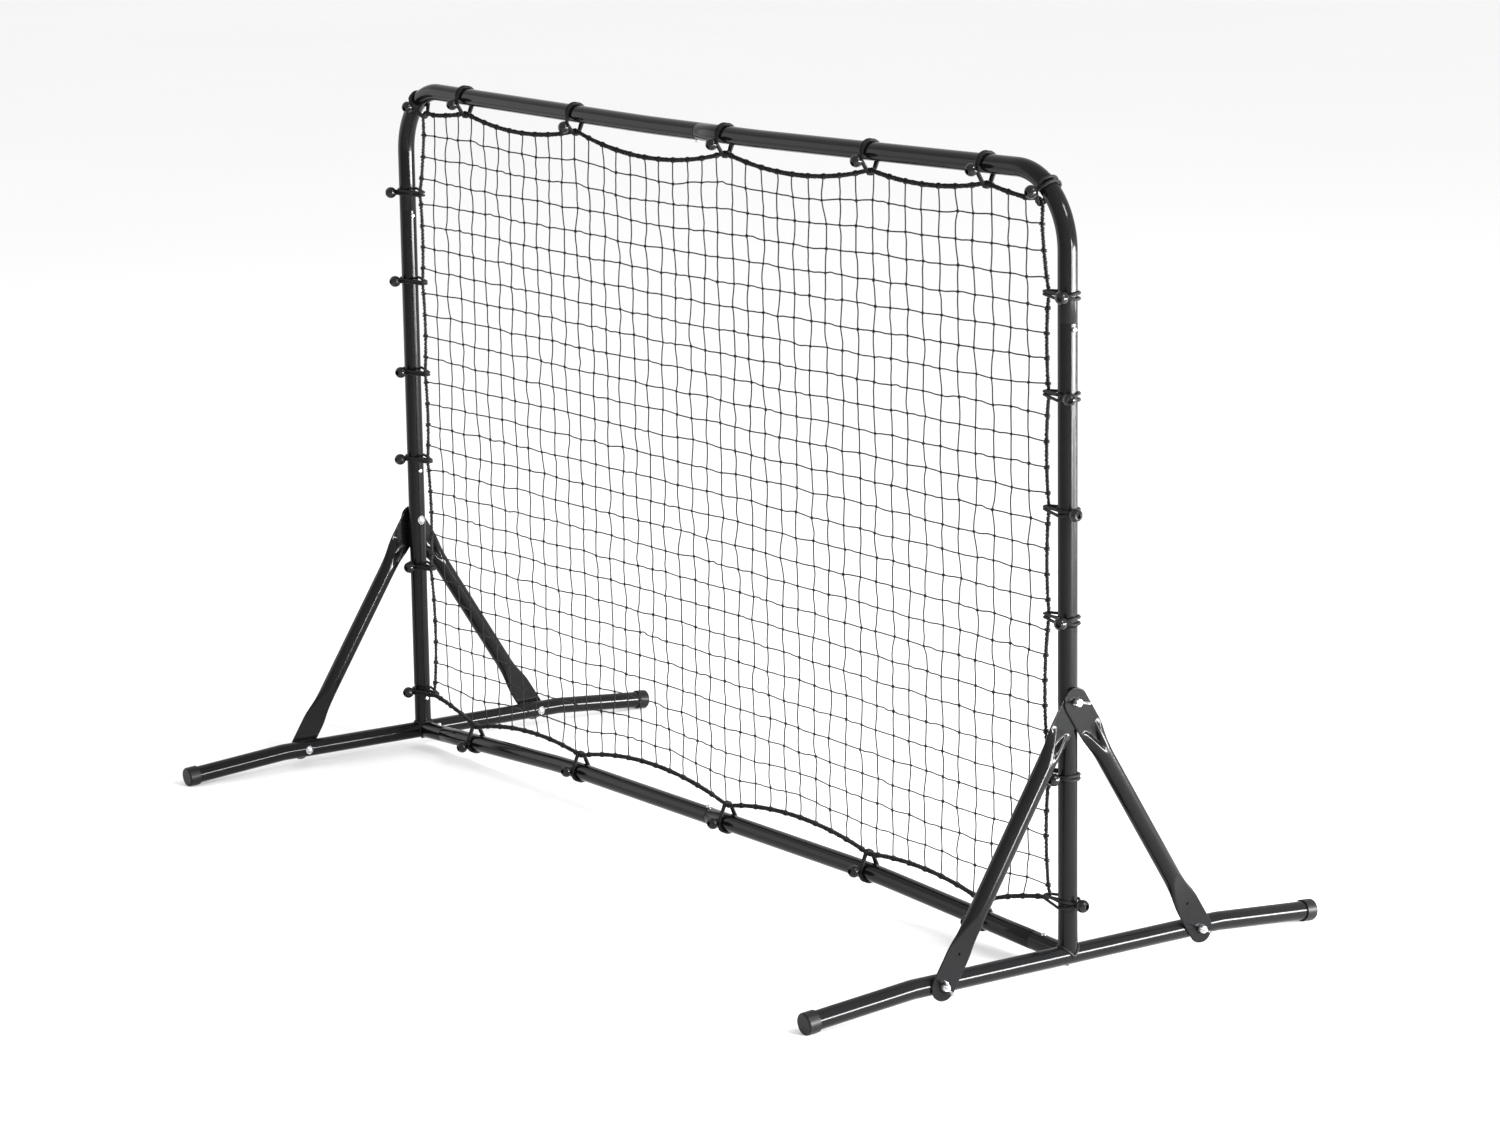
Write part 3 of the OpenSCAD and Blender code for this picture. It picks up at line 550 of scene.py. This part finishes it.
# ---- braces: flattened ends, a dimple past each upper fold, then round tube ----
def brace(side, front):
    """A brace along +Z from its lower bolt, then leaned into place. The rear one's upper end is set out
    by a paddle, so that it lies on the front one's."""
    offset = 0.0 if front else PADDLE_T
    length = math.hypot(BRACE_TOP, BRACE_FOOT)
    n = 96
    u = 2 * math.pi * np.arange(n) / n
    fold = np.abs(((u + math.pi / 2) % math.pi) - math.pi / 2)  # angle from a flat side's middle
    sx = np.sign(np.cos(u)) * (np.abs(np.cos(u)) > 1e-9)
    sy = np.sign(np.sin(u)) * (np.abs(np.sin(u)) > 1e-9)
    share = fold / (math.pi / 2)
    flat_y = PADDLE_W / 2 * sy * share
    flat_x = PADDLE_T / 2 * np.sqrt(np.clip(1 - np.clip((share - 0.93) / 0.07, 0, 1) ** 2, 0, 1))
    late = 0.40 * np.exp(-((np.degrees(fold) / 27) ** 2))  # the middle swells last, for the dimple
    pressed = 0.0011 * np.exp(-((np.degrees(fold) / 20) ** 2))
    facet_edge = 0.0022

    def neck_ring(t, off, top):
        """The section at t, from paddle (0) to round tube (1)."""
        onset = late if top else 0.0
        swell = 1 - (1 - np.clip((t - onset) / (1 - onset), 0, 1)) ** 3
        high = (1 - swell) * flat_x + swell * BRACE_D / 2 * np.abs(np.cos(u))
        if top:
            high -= pressed * math.sin(math.pi * min(1.0, t / 0.42))
        else:  # a flat slope cut across the swelling tube, its edges rounded
            slope = PADDLE_T / 2 + (BRACE_D - PADDLE_T) / 2 * (0.25 * t + 0.75 * t * t)
            soft = np.clip(facet_edge - np.abs(high - slope), 0, None) / facet_edge
            high = np.minimum(high, slope) - soft**2 * facet_edge / 4 * min(1.0, t / 0.3) ** 2
        narrow = t * t * (3 - 2 * t)
        return sx * high + off, (1 - narrow) * flat_y + narrow * BRACE_D / 2 * np.sin(u)

    def end(off, top):
        out = []
        for q in np.linspace(0.04, math.pi / 2, 16):
            out.append((-PADDLE_W / 2 * math.cos(q), sx * flat_x + off, flat_y * math.sin(q)))
        for z in (FOLD / 2, FOLD - 0.0006):
            out.append((z, sx * flat_x + off, flat_y))
        for t in np.linspace(0, 1, 44):
            back = 1 - t * t * (3 - 2 * t)
            out.append((FOLD + NECK * t, *neck_ring(t, off * back, top)))
        return [(length - z, x, y) for z, x, y in out[::-1]] if top else out

    rings = end(0.0, False)
    a, b = FOLD + NECK, length - FOLD - NECK
    for k in range(1, 8):
        rings.append((a + (b - a) * k / 8, BRACE_D / 2 * np.cos(u), BRACE_D / 2 * np.sin(u)))
    rings += end(offset, True)
    verts = np.concatenate([np.stack([x, y, np.full(n, z)], 1) for z, x, y in rings])
    faces = grid(len(rings), n).tolist() + ends(len(rings), n)
    ahead = -1 if front else 1
    lean = -ahead * math.atan(BRACE_FOOT / BRACE_TOP)
    c, s = math.cos(lean), math.sin(lean)
    x, y, z = verts.T
    out = PADDLE_T / 2 + TUBE_R
    world = np.stack([HALF_W + out + x, c * y + s * z + ahead * BRACE_FOOT, c * z - s * y + AXIS_Z], 1)
    if side < 0:
        world[:, 0] *= -1
        faces = [f[::-1] for f in faces]
    name = "brace_" + ("right" if side > 0 else "left") + ("_front" if front else "_rear")
    o = make(name.replace("brace", "brace_tube"), world, faces, PAINT, replaces=(name,))
    # the drain hole, through the outer side only
    drain = np.array([side * (HALF_W + out), ahead * BRACE_FOOT + s * DRAIN_AT, AXIS_Z + c * DRAIN_AT])
    way = np.array([side, 0, 0])
    drill(o, [([drain - way * 0.0012, drain + way * 0.02], DRAIN_D / 2, 24)])
    crisp(o, 48)


for side in (1, -1):
    brace(side, True)
    brace(side, False)


# ---- carriage bolts and wing nuts ----
def lathe(profile, sides, bored=False):
    """A closed solid round +X from (x, r) points; bored joins the last point to the first."""
    x, r = np.asarray(profile, float).T
    a = 2 * math.pi * np.arange(sides) / sides
    y, z = np.outer(r, np.cos(a)), np.outer(r, np.sin(a))
    v = np.stack([np.repeat(x, sides), y.ravel(), z.ravel()], 1)
    f = grid(len(x), sides, bored)[:, ::-1].tolist()
    return v, f if bored else f + [q[::-1] for q in ends(len(x), sides)]


def thread(start, stop, r=BOLT_D / 2, pitch=0.001, depth=0.0006, sides=28):
    """A threaded rod along +X: its radius follows a helix of V grooves."""
    steps = int((stop - start) / pitch * 6)
    x = np.linspace(start, stop, steps + 1)
    a = 2 * math.pi * np.arange(sides) / sides
    saw = np.abs(((x[:, None] / pitch - a[None] / (2 * math.pi)) % 1) - 0.5) * 2
    full = np.minimum(1, np.minimum(x - start, stop - x) / 0.0008)[:, None]
    rad = (r - depth * (1 - saw)) * full + (r - depth * 1.3) * (1 - full)
    v = np.stack([np.broadcast_to(x[:, None], rad.shape), rad * np.cos(a), rad * np.sin(a)], -1)
    f = grid(steps + 1, sides)[:, ::-1].tolist() + [q[::-1] for q in ends(steps + 1, sides)]
    return v.reshape(-1, 3), f


def merge(pieces):
    """Joins (points, faces) pieces into one."""
    vs, fs, base = [], [], 0
    for v, f in pieces:
        vs.append(np.asarray(v, float))
        fs += [[k + base for k in q] for q in f]
        base += len(v)
    return np.concatenate(vs), fs


# Each bolt's place from the foot tubes' axis (y, z), and the paddles that its nut clamps.
PLACES = {"top": (0.0, BRACE_TOP, 2), "front": (-BRACE_FOOT, 0.0, 1), "rear": (BRACE_FOOT, 0.0, 1)}


def bolts():
    """The six bolts: a domed head, a square neck, a plain shank and a threaded end."""
    dome_r = (HEAD_R**2 + HEAD_H**2) / (2 * HEAD_H)
    q = np.linspace(0.06, 1, 14)
    dome = [(-(HEAD_H - dome_r + math.sqrt(dome_r**2 - (HEAD_R * v) ** 2)), HEAD_R * v) for v in q]
    dome += [(-0.0003, HEAD_R), (0.0, HEAD_R - 0.0003), (0.0, BOLT_D / 2)]
    h = NECK_W / 2
    cube = [(x, y, z) for x in (0, NECK_L) for y, z in ((-h, -h), (h, -h), (h, h), (-h, h))]
    sides = [[0, 1, 2, 3], [7, 6, 5, 4], [0, 4, 5, 1], [1, 5, 6, 2], [2, 6, 7, 3], [3, 7, 4, 0]]
    shank_r, shank_end = 0.0029, 0.020
    shank = lathe([(NECK_L - 0.0005, shank_r), (shank_end, shank_r)], 28)
    bolt = merge([lathe(dome, 48), (cube, sides), shank, thread(shank_end - 0.0005, BOLT_LEN)])
    pieces = []
    for side in (-1, 1):
        for y, z, _ in PLACES.values():
            v = (bolt[0] + (HALF_W - TUBE_R, y, AXIS_Z + z)) * (side, 1, 1)
            pieces.append((v, bolt[1] if side > 0 else [f[::-1] for f in bolt[1]]))
    v, f = merge(pieces)
    make("carriage_bolts_threaded", v, f, ZINC, replaces=("carriage_bolts",), sharp=28)


def wing_nut(side, place, turn):
    """A cast nut: a tapered hub with a rounded lip, and two wings with soft edges."""
    hub = lathe([(0.0, 0.0031), (0.0, 0.0066), (0.0004, 0.0070), (0.0012, 0.0070), (0.0042, 0.0062),
                 (0.0074, 0.0056), (0.0080, 0.0051), (0.0080, 0.0034), (0.0074, 0.0031)], 48, bored=True)
    lobe_r, lobe_at = 0.0046, (0.0114, 0.0124)
    outline = [(0.0030, 0.0008), (0.0066, 0.0010)]
    for a in np.radians(np.linspace(-38, 148, 22)):
        outline.append((lobe_at[0] + lobe_r * math.cos(a), lobe_at[1] + lobe_r * math.sin(a)))
    outline += [(0.0062, 0.0094), (0.0048, 0.0078), (0.0030, 0.0070)]
    outline = np.array(outline)
    n, mid = len(outline), outline.mean(0)
    r, h = outline.T
    out = np.clip((r - 0.004) / 0.004, 0, 1)
    thick = 0.0016 - 0.0005 * np.clip((r - 0.005) / 0.010, 0, 1)
    # across the wing: how far from its middle, and how much its outline is drawn in for a soft edge
    layers = [(-1.0, 0.90), (-0.72, 0.98), (-0.25, 1.0), (0.25, 1.0), (0.72, 0.98), (1.0, 0.90)]
    wing = []
    for e, k in layers:
        grow = 1 - (1 - k) * out
        wing.append(np.stack([mid[1] + (h - mid[1]) * grow, mid[0] + (r - mid[0]) * grow, e * thick], 1))
    wing = np.concatenate(wing)
    faces = grid(len(layers), n)[:, [0, 3, 2, 1]].tolist() + [q[::-1] for q in ends(len(layers), n)]
    v, f = merge([hub, (wing, faces), (wing * (1, -1, -1), faces)])
    y0, z0, paddles = PLACES[place]
    c, s = math.cos(math.radians(turn)), math.sin(math.radians(turn))
    x, y, z = v.T
    base = HALF_W + TUBE_R + paddles * PADDLE_T + NUT_GAP
    w = np.stack([base + x, y * c - z * s + y0, y * s + z * c + AXIS_Z + z0], 1)
    if side < 0:
        w[:, 0] *= -1
        f = [g[::-1] for g in f]
    name = "wing_nut_" + ("right_" if side > 0 else "left_") + place
    make("cast_" + name, w, f, ZINC, body=name + "_body", replaces=(name,), sharp=50)


bolts()
for side, turns in ((1, (-4, -58, -26)), (-1, (24, 70, -38))):
    for place, turn in zip(PLACES, turns):
        wing_nut(side, place, turn)


# ---- weld beads at the posts and stubs ----
def weld_beads():
    """A bead round each post and stub, along the curve where two tubes of one size meet."""
    parts = []
    r, step, ripple = TUBE_R + 0.0006, 0.0009, 0.0036

    def bead(pts, closed):
        line = smooth_line(pts, step, closed)
        k = len(line)
        wave = 1 + 0.07 * np.sin(np.arange(k) * 2 * math.pi * step / ripple) + RNG.normal(0, 0.02, k)
        parts.append(sweep(line, 0.0021 * wave, 12, closed))

    for side in (-1, 1):
        t = np.radians(np.arange(0, 360, 6))
        inner = np.where(np.cos(t) < 0, np.abs(np.cos(t)), 0)
        z = r * np.maximum(np.abs(np.sin(t)), inner)
        bead(np.stack([side * (HALF_W + r * np.cos(t)), r * np.sin(t), AXIS_Z + z], 1), True)
        p = np.radians(np.arange(135, 406, 6))
        stub = [side * (HALF_W - r * np.abs(np.cos(p))), r * np.cos(p), AXIS_Z + r * np.sin(p)]
        bead(np.stack(stub, 1), False)
    v, f, uv = gather(parts)
    make("weld_beads", v, f, WELD, uvs=uv)


weld_beads()


# ---- bungees: where each one is ----
def attachments():
    """[tube point, way to the net, ball's turn, reach], in order round the frame."""
    def corner(side, at, turn):
        c, s = math.cos(math.radians(at)), math.sin(math.radians(at))
        point = np.array([side * (CORNER_X + CORNER_R * c), CORNER_Z + CORNER_R * s])
        return point, (-side * c, -s), turn, HANG_CORNER

    out = [corner(-1, CORNER_AT[0], CORNER_TURN[0])]
    out += [(np.array([x * MM, top_z(x * MM)]), (0, -1), t, HANG_TOP) for x, t in TOP_AT]
    out += [corner(1, CORNER_AT[1], CORNER_TURN[1])]
    out += [(np.array([HALF_W, AXIS_Z + z * MM]), (-1, 0), t, HANG_SIDE) for z, t in RIGHT_AT]
    out += [(np.array([x * MM, rail_z(x * MM)]), (0, 1), t, HANG_RAIL) for x, t in RAIL_AT[::-1]]
    out += [(np.array([-HALF_W, AXIS_Z + z * MM]), (1, 0), t, HANG_SIDE) for z, t in LEFT_AT[::-1]]
    return out


BUNGEES = attachments()
HOOKS = [p + np.array(w) * r for p, w, _, r in BUNGEES]

# ---- the net's shape: strings in balance between the bungees ----
COLS, ROWS = 42, 27
TWINE_R = 0.00116
NET_HALF_W, NET_BELOW_TOP, NET_ABOVE_RAIL = 0.845, 0.040, 0.050
ROPE_PULL, CELL = 19.0, 0.04  # the rope's pull, against 1 in each string


def net_shape():
    """Balances the net's strings and its rope by force densities. Returns the knots' places, the rope's
    places and the rope's keys: (column, row) at a string and ("h", number) at a bungee."""
    ids, edges = {}, []

    def nid(key):
        return ids.setdefault(key, len(ids))

    top, bottom = AXIS_Z + FRAME_H - NET_BELOW_TOP, AXIS_Z + NET_ABOVE_RAIL
    cx = [-NET_HALF_W + 2 * NET_HALF_W * i / COLS for i in range(COLS + 1)]
    rz = [bottom + (top - bottom) * j / ROWS for j in range(ROWS + 1)]

    def side(keys, hooks, axis, falling=False):
        """Rope nodes of one side in order, its bungees put in between by where they are."""
        seq = keys + [(HOOKS[i][axis], ("h", i)) for i in hooks]
        return [k for _, k in sorted(seq, key=lambda s: s[0], reverse=falling)]

    # the bungees are numbered clockwise from the top left corner
    tops = range(1, 1 + len(TOP_AT))
    rights = range(tops.stop + 1, tops.stop + 1 + len(RIGHT_AT))
    rails = range(rights.stop, rights.stop + len(RAIL_AT))
    lefts = range(rails.stop, len(HOOKS))
    order = [("h", 0)]
    order += side([(cx[i], (i, ROWS)) for i in range(1, COLS)], tops, 0)
    order += [("h", tops.stop)]
    order += side([(rz[j], (COLS, j)) for j in range(1, ROWS)], rights, 1, falling=True)
    order += [(COLS, 0)]
    order += side([(cx[i], (i, 0)) for i in range(1, COLS)], rails, 0, falling=True)
    order += [(0, 0)]
    order += side([(rz[j], (0, j)) for j in range(1, ROWS)], lefts, 1)
    rope = [nid(k) for k in order]
    fixed = {nid(k): HOOKS[k[1]] for k in order if k[0] == "h"}
    place = {("h", i): h for i, h in enumerate(HOOKS)}
    for i in range(COLS + 1):
        for j in range(ROWS + 1):
            place[(i, j)] = np.array([cx[i], rz[j]])
    for a, b in zip(order, order[1:] + order[:1]):
        gap = max(0.004, np.linalg.norm(place[a] - place[b]))
        edges.append((nid(a), nid(b), ROPE_PULL * CELL / gap))
    for i in range(1, COLS):
        for j in range(ROWS):
            edges.append((nid((i, j)), nid((i, j + 1)), 1.0))
    for j in range(1, ROWS):
        for i in range(COLS):
            edges.append((nid((i, j)), nid((i + 1, j)), 1.0))
    n = len(ids)
    lap = np.zeros((n, n))
    for a, b, q in edges:
        lap[a, a] += q
        lap[b, b] += q
        lap[a, b] -= q
        lap[b, a] -= q
    known = np.array(sorted(fixed))
    free = np.array(sorted(set(range(n)) - set(fixed)))
    xy = np.zeros((n, 2))
    xy[known] = [fixed[k] for k in known]
    xy[free] = np.linalg.solve(lap[np.ix_(free, free)], -lap[np.ix_(free, known)] @ xy[known])
    return {k: xy[i] for k, i in ids.items()}, [xy[i] for i in rope], order


KNOTS, ROPE_LINE, ROPE_ORDER = net_shape()


def flat3(p):
    """A point of the frame's plane in three dimensions."""
    return np.array([p[0], 0.0, p[1]])


def inside(key):
    """Whether a knot is in the net, not on its rope."""
    return 0 < key[0] < COLS and 0 < key[1] < ROWS


def build_net():
    """Every string of the net, a little wavy, and a knot where two cross. Returns the twine's length."""
    at = {}
    for key, p in KNOTS.items():
        if key[0] != "h":
            w = RNG.normal(0, 1, 3) * ((0.0009, 0.0014, 0.0009) if inside(key) else (0, 0.0006, 0))
            at[key] = flat3(p) + w
    parts = []

    def string(keys):
        pts = []
        for a, b in zip(keys, keys[1:]):
            p, d = at[a], at[b] - at[a]
            across = np.array([-d[2], 0, d[0]]) * 0.016
            w1, w2 = RNG.normal(0, 1, 2)
            pts.append(p)
            pts.append(p + d * 0.33 + across * w1 + np.array([0, 0.0007 * w2, 0]))
            pts.append(p + d * 0.67 + across * (0.4 * w1 - 0.7 * w2) + np.array([0, -0.0006 * w1, 0]))
        pts.append(at[keys[-1]])
        line = smooth_line(pts, 0.0045)
        parts.append(sweep(line, TWINE_R, 6))
        return float(np.linalg.norm(np.diff(line, axis=0), axis=1).sum())

    total = sum(string([(i, j) for j in range(ROWS + 1)]) for i in range(1, COLS))
    total += sum(string([(i, j) for i in range(COLS + 1)]) for j in range(1, ROWS))
    # each knot is a small tight trefoil of the same twine
    t = np.linspace(0, 2 * math.pi, 27)[:-1]
    trefoil = [np.sin(t) + 2 * np.sin(2 * t), -np.sin(3 * t) * 1.2, np.cos(t) - 2 * np.cos(2 * t)]
    knot, quads, uv, _ = sweep(np.stack(trefoil, 1) / 3 * 0.00185, 0.0011, 5, closed=True)
    for key, p in at.items():
        if inside(key):
            a = RNG.uniform(0, 2 * math.pi)
            s = RNG.uniform(0.85, 1.12)
            r = np.array([[math.cos(a), 0, math.sin(a)], [0, 1, 0], [-math.sin(a), 0, math.cos(a)]])
            parts.append((knot @ r.T * s + p, quads, uv, []))
    v, f, uv = gather(parts)
    make("net_twine", v, f, TWINE, replaces=("net_panel",), uvs=uv)
    return total


twine_length = build_net()


# ---- border rope: a cord with twine whipped round it ----
def build_rope():
    """The rope, its whippings and the hitches of the net's strings. Returns the rope's length."""
    line = smooth_line([flat3(p) for p in ROPE_LINE], 0.004, closed=True)
    k = len(line)
    wobble = np.sin(np.arange(k) * 0.9) * 0.0002 + RNG.normal(0, 0.00012, k)
    step = np.gradient(line, axis=0)
    lean = np.abs(step[:, 2]) / np.maximum(np.linalg.norm(step, axis=1), 1e-9)  # 1 where it is upright
    slim = 0.0006  # how much thinner it is there
    parts = [sweep(line, 0.0027 + wobble - slim * lean, 8, closed=True)]
    loop = np.concatenate([line, line[:1]])
    along = np.concatenate([[0], np.cumsum(np.linalg.norm(np.diff(loop, axis=0), axis=1))])
    length = float(along[-1])

    def uneven(s, samples, spread):
        """A random value that changes slowly along the rope, at each distance in s."""
        return np.interp(s, np.linspace(0, length, samples), RNG.normal(0, spread, samples))

    # whipping: two uneven helices that cross
    for pitch, hand, radius, thick, per_turn in ((0.0034, 1, 0.0029, 0.00088, 9),
                                                 (0.0061, -1, 0.0031, 0.00072, 12)):
        turns = int(length / pitch)
        s = np.linspace(0, length, turns * per_turn + 1)[:-1]
        c = np.stack([np.interp(s, along, loop[:, a]) for a in range(3)], 1)
        t, n, b = frames(c, True)
        turn = hand * (2 * math.pi * turns * s / length) + uneven(s, 500, 0.9)
        away = radius + uneven(s, 1500, 0.00026) - slim * np.abs(t[:, 2])
        helix = c + (np.cos(turn)[:, None] * n + np.sin(turn)[:, None] * b) * away[:, None]
        parts.append(sweep(helix, thick * (1 + uneven(s, 1100, 0.14)), 5, closed=True))
    # a hitch where each string meets the rope
    hitch_r, hitch_half_gap = 0.0038, 0.0013
    t = np.linspace(0, 2 * math.pi, 15)[:-1]
    c, s = np.cos(t), np.sin(t)
    for key in ROPE_ORDER:
        if key[0] == "h":
            continue
        p = flat3(KNOTS[key])
        i = int(np.argmin(np.linalg.norm(line - p, axis=1)))
        d = line[(i + 1) % k] - line[i - 1]
        d /= np.linalg.norm(d)
        u = np.cross(d, (0, 1, 0))
        for off in (-hitch_half_gap, hitch_half_gap):
            tilt = RNG.uniform(-0.25, 0.25)
            ring = np.outer(c, u) + np.outer(s, (0, 1, 0)) + np.outer(s * tilt, d)
            parts.append(sweep(p + d * off + ring * hitch_r, 0.00105, 5, closed=True))
    v, f, uv = gather(parts)
    make("border_rope_whipped", v, f, ROPE_MAT, replaces=("net_border_rope",), uvs=uv)
    return length


rope_length = build_rope()


# ---- bungees: one elastic cord each, doubled round tube and rope, and a ball ----
def belt(reach, r_tube, r_rope, n1=40, n2=12):
    """The line that a cord takes round the tube (at the origin) and the rope (at reach on +X)."""
    split = math.acos((r_tube - r_rope) / reach)
    a = np.linspace(split, 2 * math.pi - split, n1)
    b = np.linspace(-split, split, n2)
    round_tube = r_tube * np.stack([np.cos(a), np.sin(a)], 1)
    round_rope = np.array([reach, 0]) + r_rope * np.stack([np.cos(b), np.sin(b)], 1)
    return np.concatenate([round_tube, round_rope]), split


def ball_profile():
    """A hollow moulding's outline as (across, along) points: a parting line, a lip, a mouth, a neck."""
    r = BALL / 2
    prof = [(0.0, -r + 0.0001)]
    for a in np.linspace(-80, 60, 36):
        q = math.radians(a)
        ridge = 0.00012 * math.exp(-((a / 2.2) ** 2))
        prof.append(((r + ridge) * math.cos(q), (r + ridge) * math.sin(q)))
    mouth = r * 0.43
    lip = math.sqrt(r * r - mouth * mouth)
    prof += [(mouth + 0.0004, lip - 0.00005), (mouth - 0.0001, lip - 0.0001),
             (mouth - 0.0004, lip - 0.0006), (mouth - 0.0006, lip - 0.0030),
             (mouth - 0.0009, lip - 0.0050), (0.0016, lip - 0.0054), (0.0, lip - 0.0046)]
    return np.array(prof)


def ball_mesh(centre, way, side_way, sides=32):
    """A ball round its centre, with its mouth facing the way given."""
    prof = ball_profile()
    body, m = prof[1:-1], len(prof) - 2
    a = 2 * math.pi * np.arange(sides) / sides
    rim = np.cos(a)[:, None] * side_way + np.sin(a)[:, None] * np.cross(way, side_way)
    rings = centre + body[:, 1][:, None, None] * way + body[:, 0][:, None, None] * rim[None]
    v = np.concatenate([rings.reshape(-1, 3), [centre + prof[0][1] * way], [centre + prof[-1][1] * way]])
    q = grid(m, sides)[:, [0, 3, 2, 1]]
    caps = [[k, (k + 1) % sides, m * sides] for k in range(sides)]
    last = (m - 1) * sides
    caps += [[last + (k + 1) % sides, last + k, m * sides + 1] for k in range(sides)]
    return v, q, np.zeros((len(q), 4, 2)), caps


def build_bungees():
    """The elastic cords, each a loop of two strands whose ends meet in the neck of its ball."""
    cords, balls = [], []
    r_tube, r_rope = TUBE_R + CORD / 2 + 0.0002, 0.0040 + CORD / 2
    for p, way, turn, reach in BUNGEES:
        x = np.array([way[0], 0, way[1]])
        y = np.array([0, -1.0, 0])
        z = np.cross(x, y)
        origin = flat3(p)
        ball_angle = math.pi / 2 - math.radians(turn)
        around, split = belt(reach, r_tube, r_rope)
        # start the loop at the ball and go all the way round to it
        off = np.angle(np.exp(1j * (np.arctan2(around[:, 1], around[:, 0]) - ball_angle)))
        on_tube = np.linalg.norm(around, axis=1) < r_tube * 1.0001
        loop = np.roll(around, -int(np.argmin(np.where(on_tube, np.abs(off), 9))), 0)
        cum = np.concatenate([[0], np.cumsum(np.linalg.norm(np.diff(loop, axis=0), axis=1))])
        total = cum[-1] + np.linalg.norm(loop[0] - loop[-1])
        past = max(0.0, turn - math.degrees(math.pi / 2 - split))
        dist = (TUBE_R + CORD + 0.0006 + BALL / 2) / math.cos(math.radians(past))
        out = np.array([math.cos(ball_angle), math.sin(ball_angle)])
        neck = out * (dist - BALL / 2 + 0.0025) * 0.97
        # the strands lie apart on the tube, and closer at the ball and on the rope
        u = cum / total
        from_rope = np.linalg.norm(loop - np.array([reach + r_rope * 0.6, 0]), axis=1)
        spread = 0.0048 * np.clip(np.minimum(u, 1 - u) / 0.10, 0.42, 1)
        spread *= 1 - 0.52 * np.exp(-((from_rope / 0.017) ** 2))
        jitter = RNG.normal(0, 0.0003, 2)
        spread *= RNG.uniform(0.66, 0.98)
        for sign, jit in zip((1, -1), jitter):
            flat = np.concatenate([[neck], loop[2:-2], [neck]])
            apart = np.concatenate([[0.0016], spread[2:-2], [0.0021]]) * sign + jit
            pts = origin + flat[:, :1] * x + flat[:, 1:] * y + apart[:, None] * z
            cords.append(sweep(smooth_line(pts, 0.0032), CORD / 2, 10))
        centre = out * dist
        balls.append(ball_mesh(origin + centre[0] * x + centre[1] * y, out[0] * x + out[1] * y, z))
    v, f, uv = gather(cords)
    make("bungee_cords", v, f, ELASTIC, replaces=("bungee_loops",), uvs=uv)
    v, f, _ = gather(balls)
    make("bungee_ball_mouldings", v, f, BALL_MAT, replaces=("bungee_balls",), sharp=40)


build_bungees()


# ---- floor, light and background ----
def area(name, at, to, size, power, stretch=1.0):
    """A soft light that faces a point. It is size high and stretch times that wide."""
    d = bpy.data.lights.new(name, "AREA")
    d.shape, d.size, d.size_y, d.energy = "RECTANGLE", size * stretch, size, power
    lamp = bpy.data.objects.new(name, d)
    lamp.location = at
    lamp.rotation_mode = "QUATERNION"
    lamp.rotation_quaternion = (Vector(at) - Vector(to)).to_track_quat("Z", "Y")
    SC.collection.objects.link(lamp)
    lamp.visible_camera = False


def stage_set():
    """A pale floor, soft lights with long bars for the tubes to reflect, and a white background."""
    s = 40.0
    me = bpy.data.meshes.new("floor")
    me.from_pydata([(-s, -s, 0), (s, -s, 0), (s, s, 0), (-s, s, 0)], [], [(0, 1, 2, 3)])
    m = Nodes("floor")
    pale = mix(m, m.noise(m.place(), 0.5), (0.90, 0.90, 0.90), (0.93, 0.93, 0.93))
    m.set(Base__Color=pale, Roughness=0.9, Specular__IOR__Level=0.1)
    me.materials.append(m.mat)
    o = bpy.data.objects.new("floor", me)
    o.location.z = -0.0002
    SC.collection.objects.link(o)
    area("key", (4.6, 0.9, 4.6), (0.3, 0, 0.5), 1.3, 260)
    area("left_panel", (-4.2, -2.6, 1.3), (0, 0, 0.8), 3.0, 34)
    area("side_bar", (4.3, 2.9, 0.50), (0.0, 0.2, 0.2), 0.80, 700, 3.5)
    area("right_strip", (4.4, 0.78, 0.76), (0.9, 0, 0.6), 1.4, 220, 0.16)
    area("low_strip", (1.75, 2.3, 0.50), (0.9, 0, 0.9), 0.6, 24, 0.25)
    world = bpy.data.worlds.new("world")
    SC.world = world
    world.use_nodes = True
    bg = world.node_tree.nodes["Background"]
    bg.inputs["Color"].default_value = (1, 1, 1, 1)
    bg.inputs["Strength"].default_value = 1.0
    SC.view_settings.view_transform = "Standard"


stage_set()
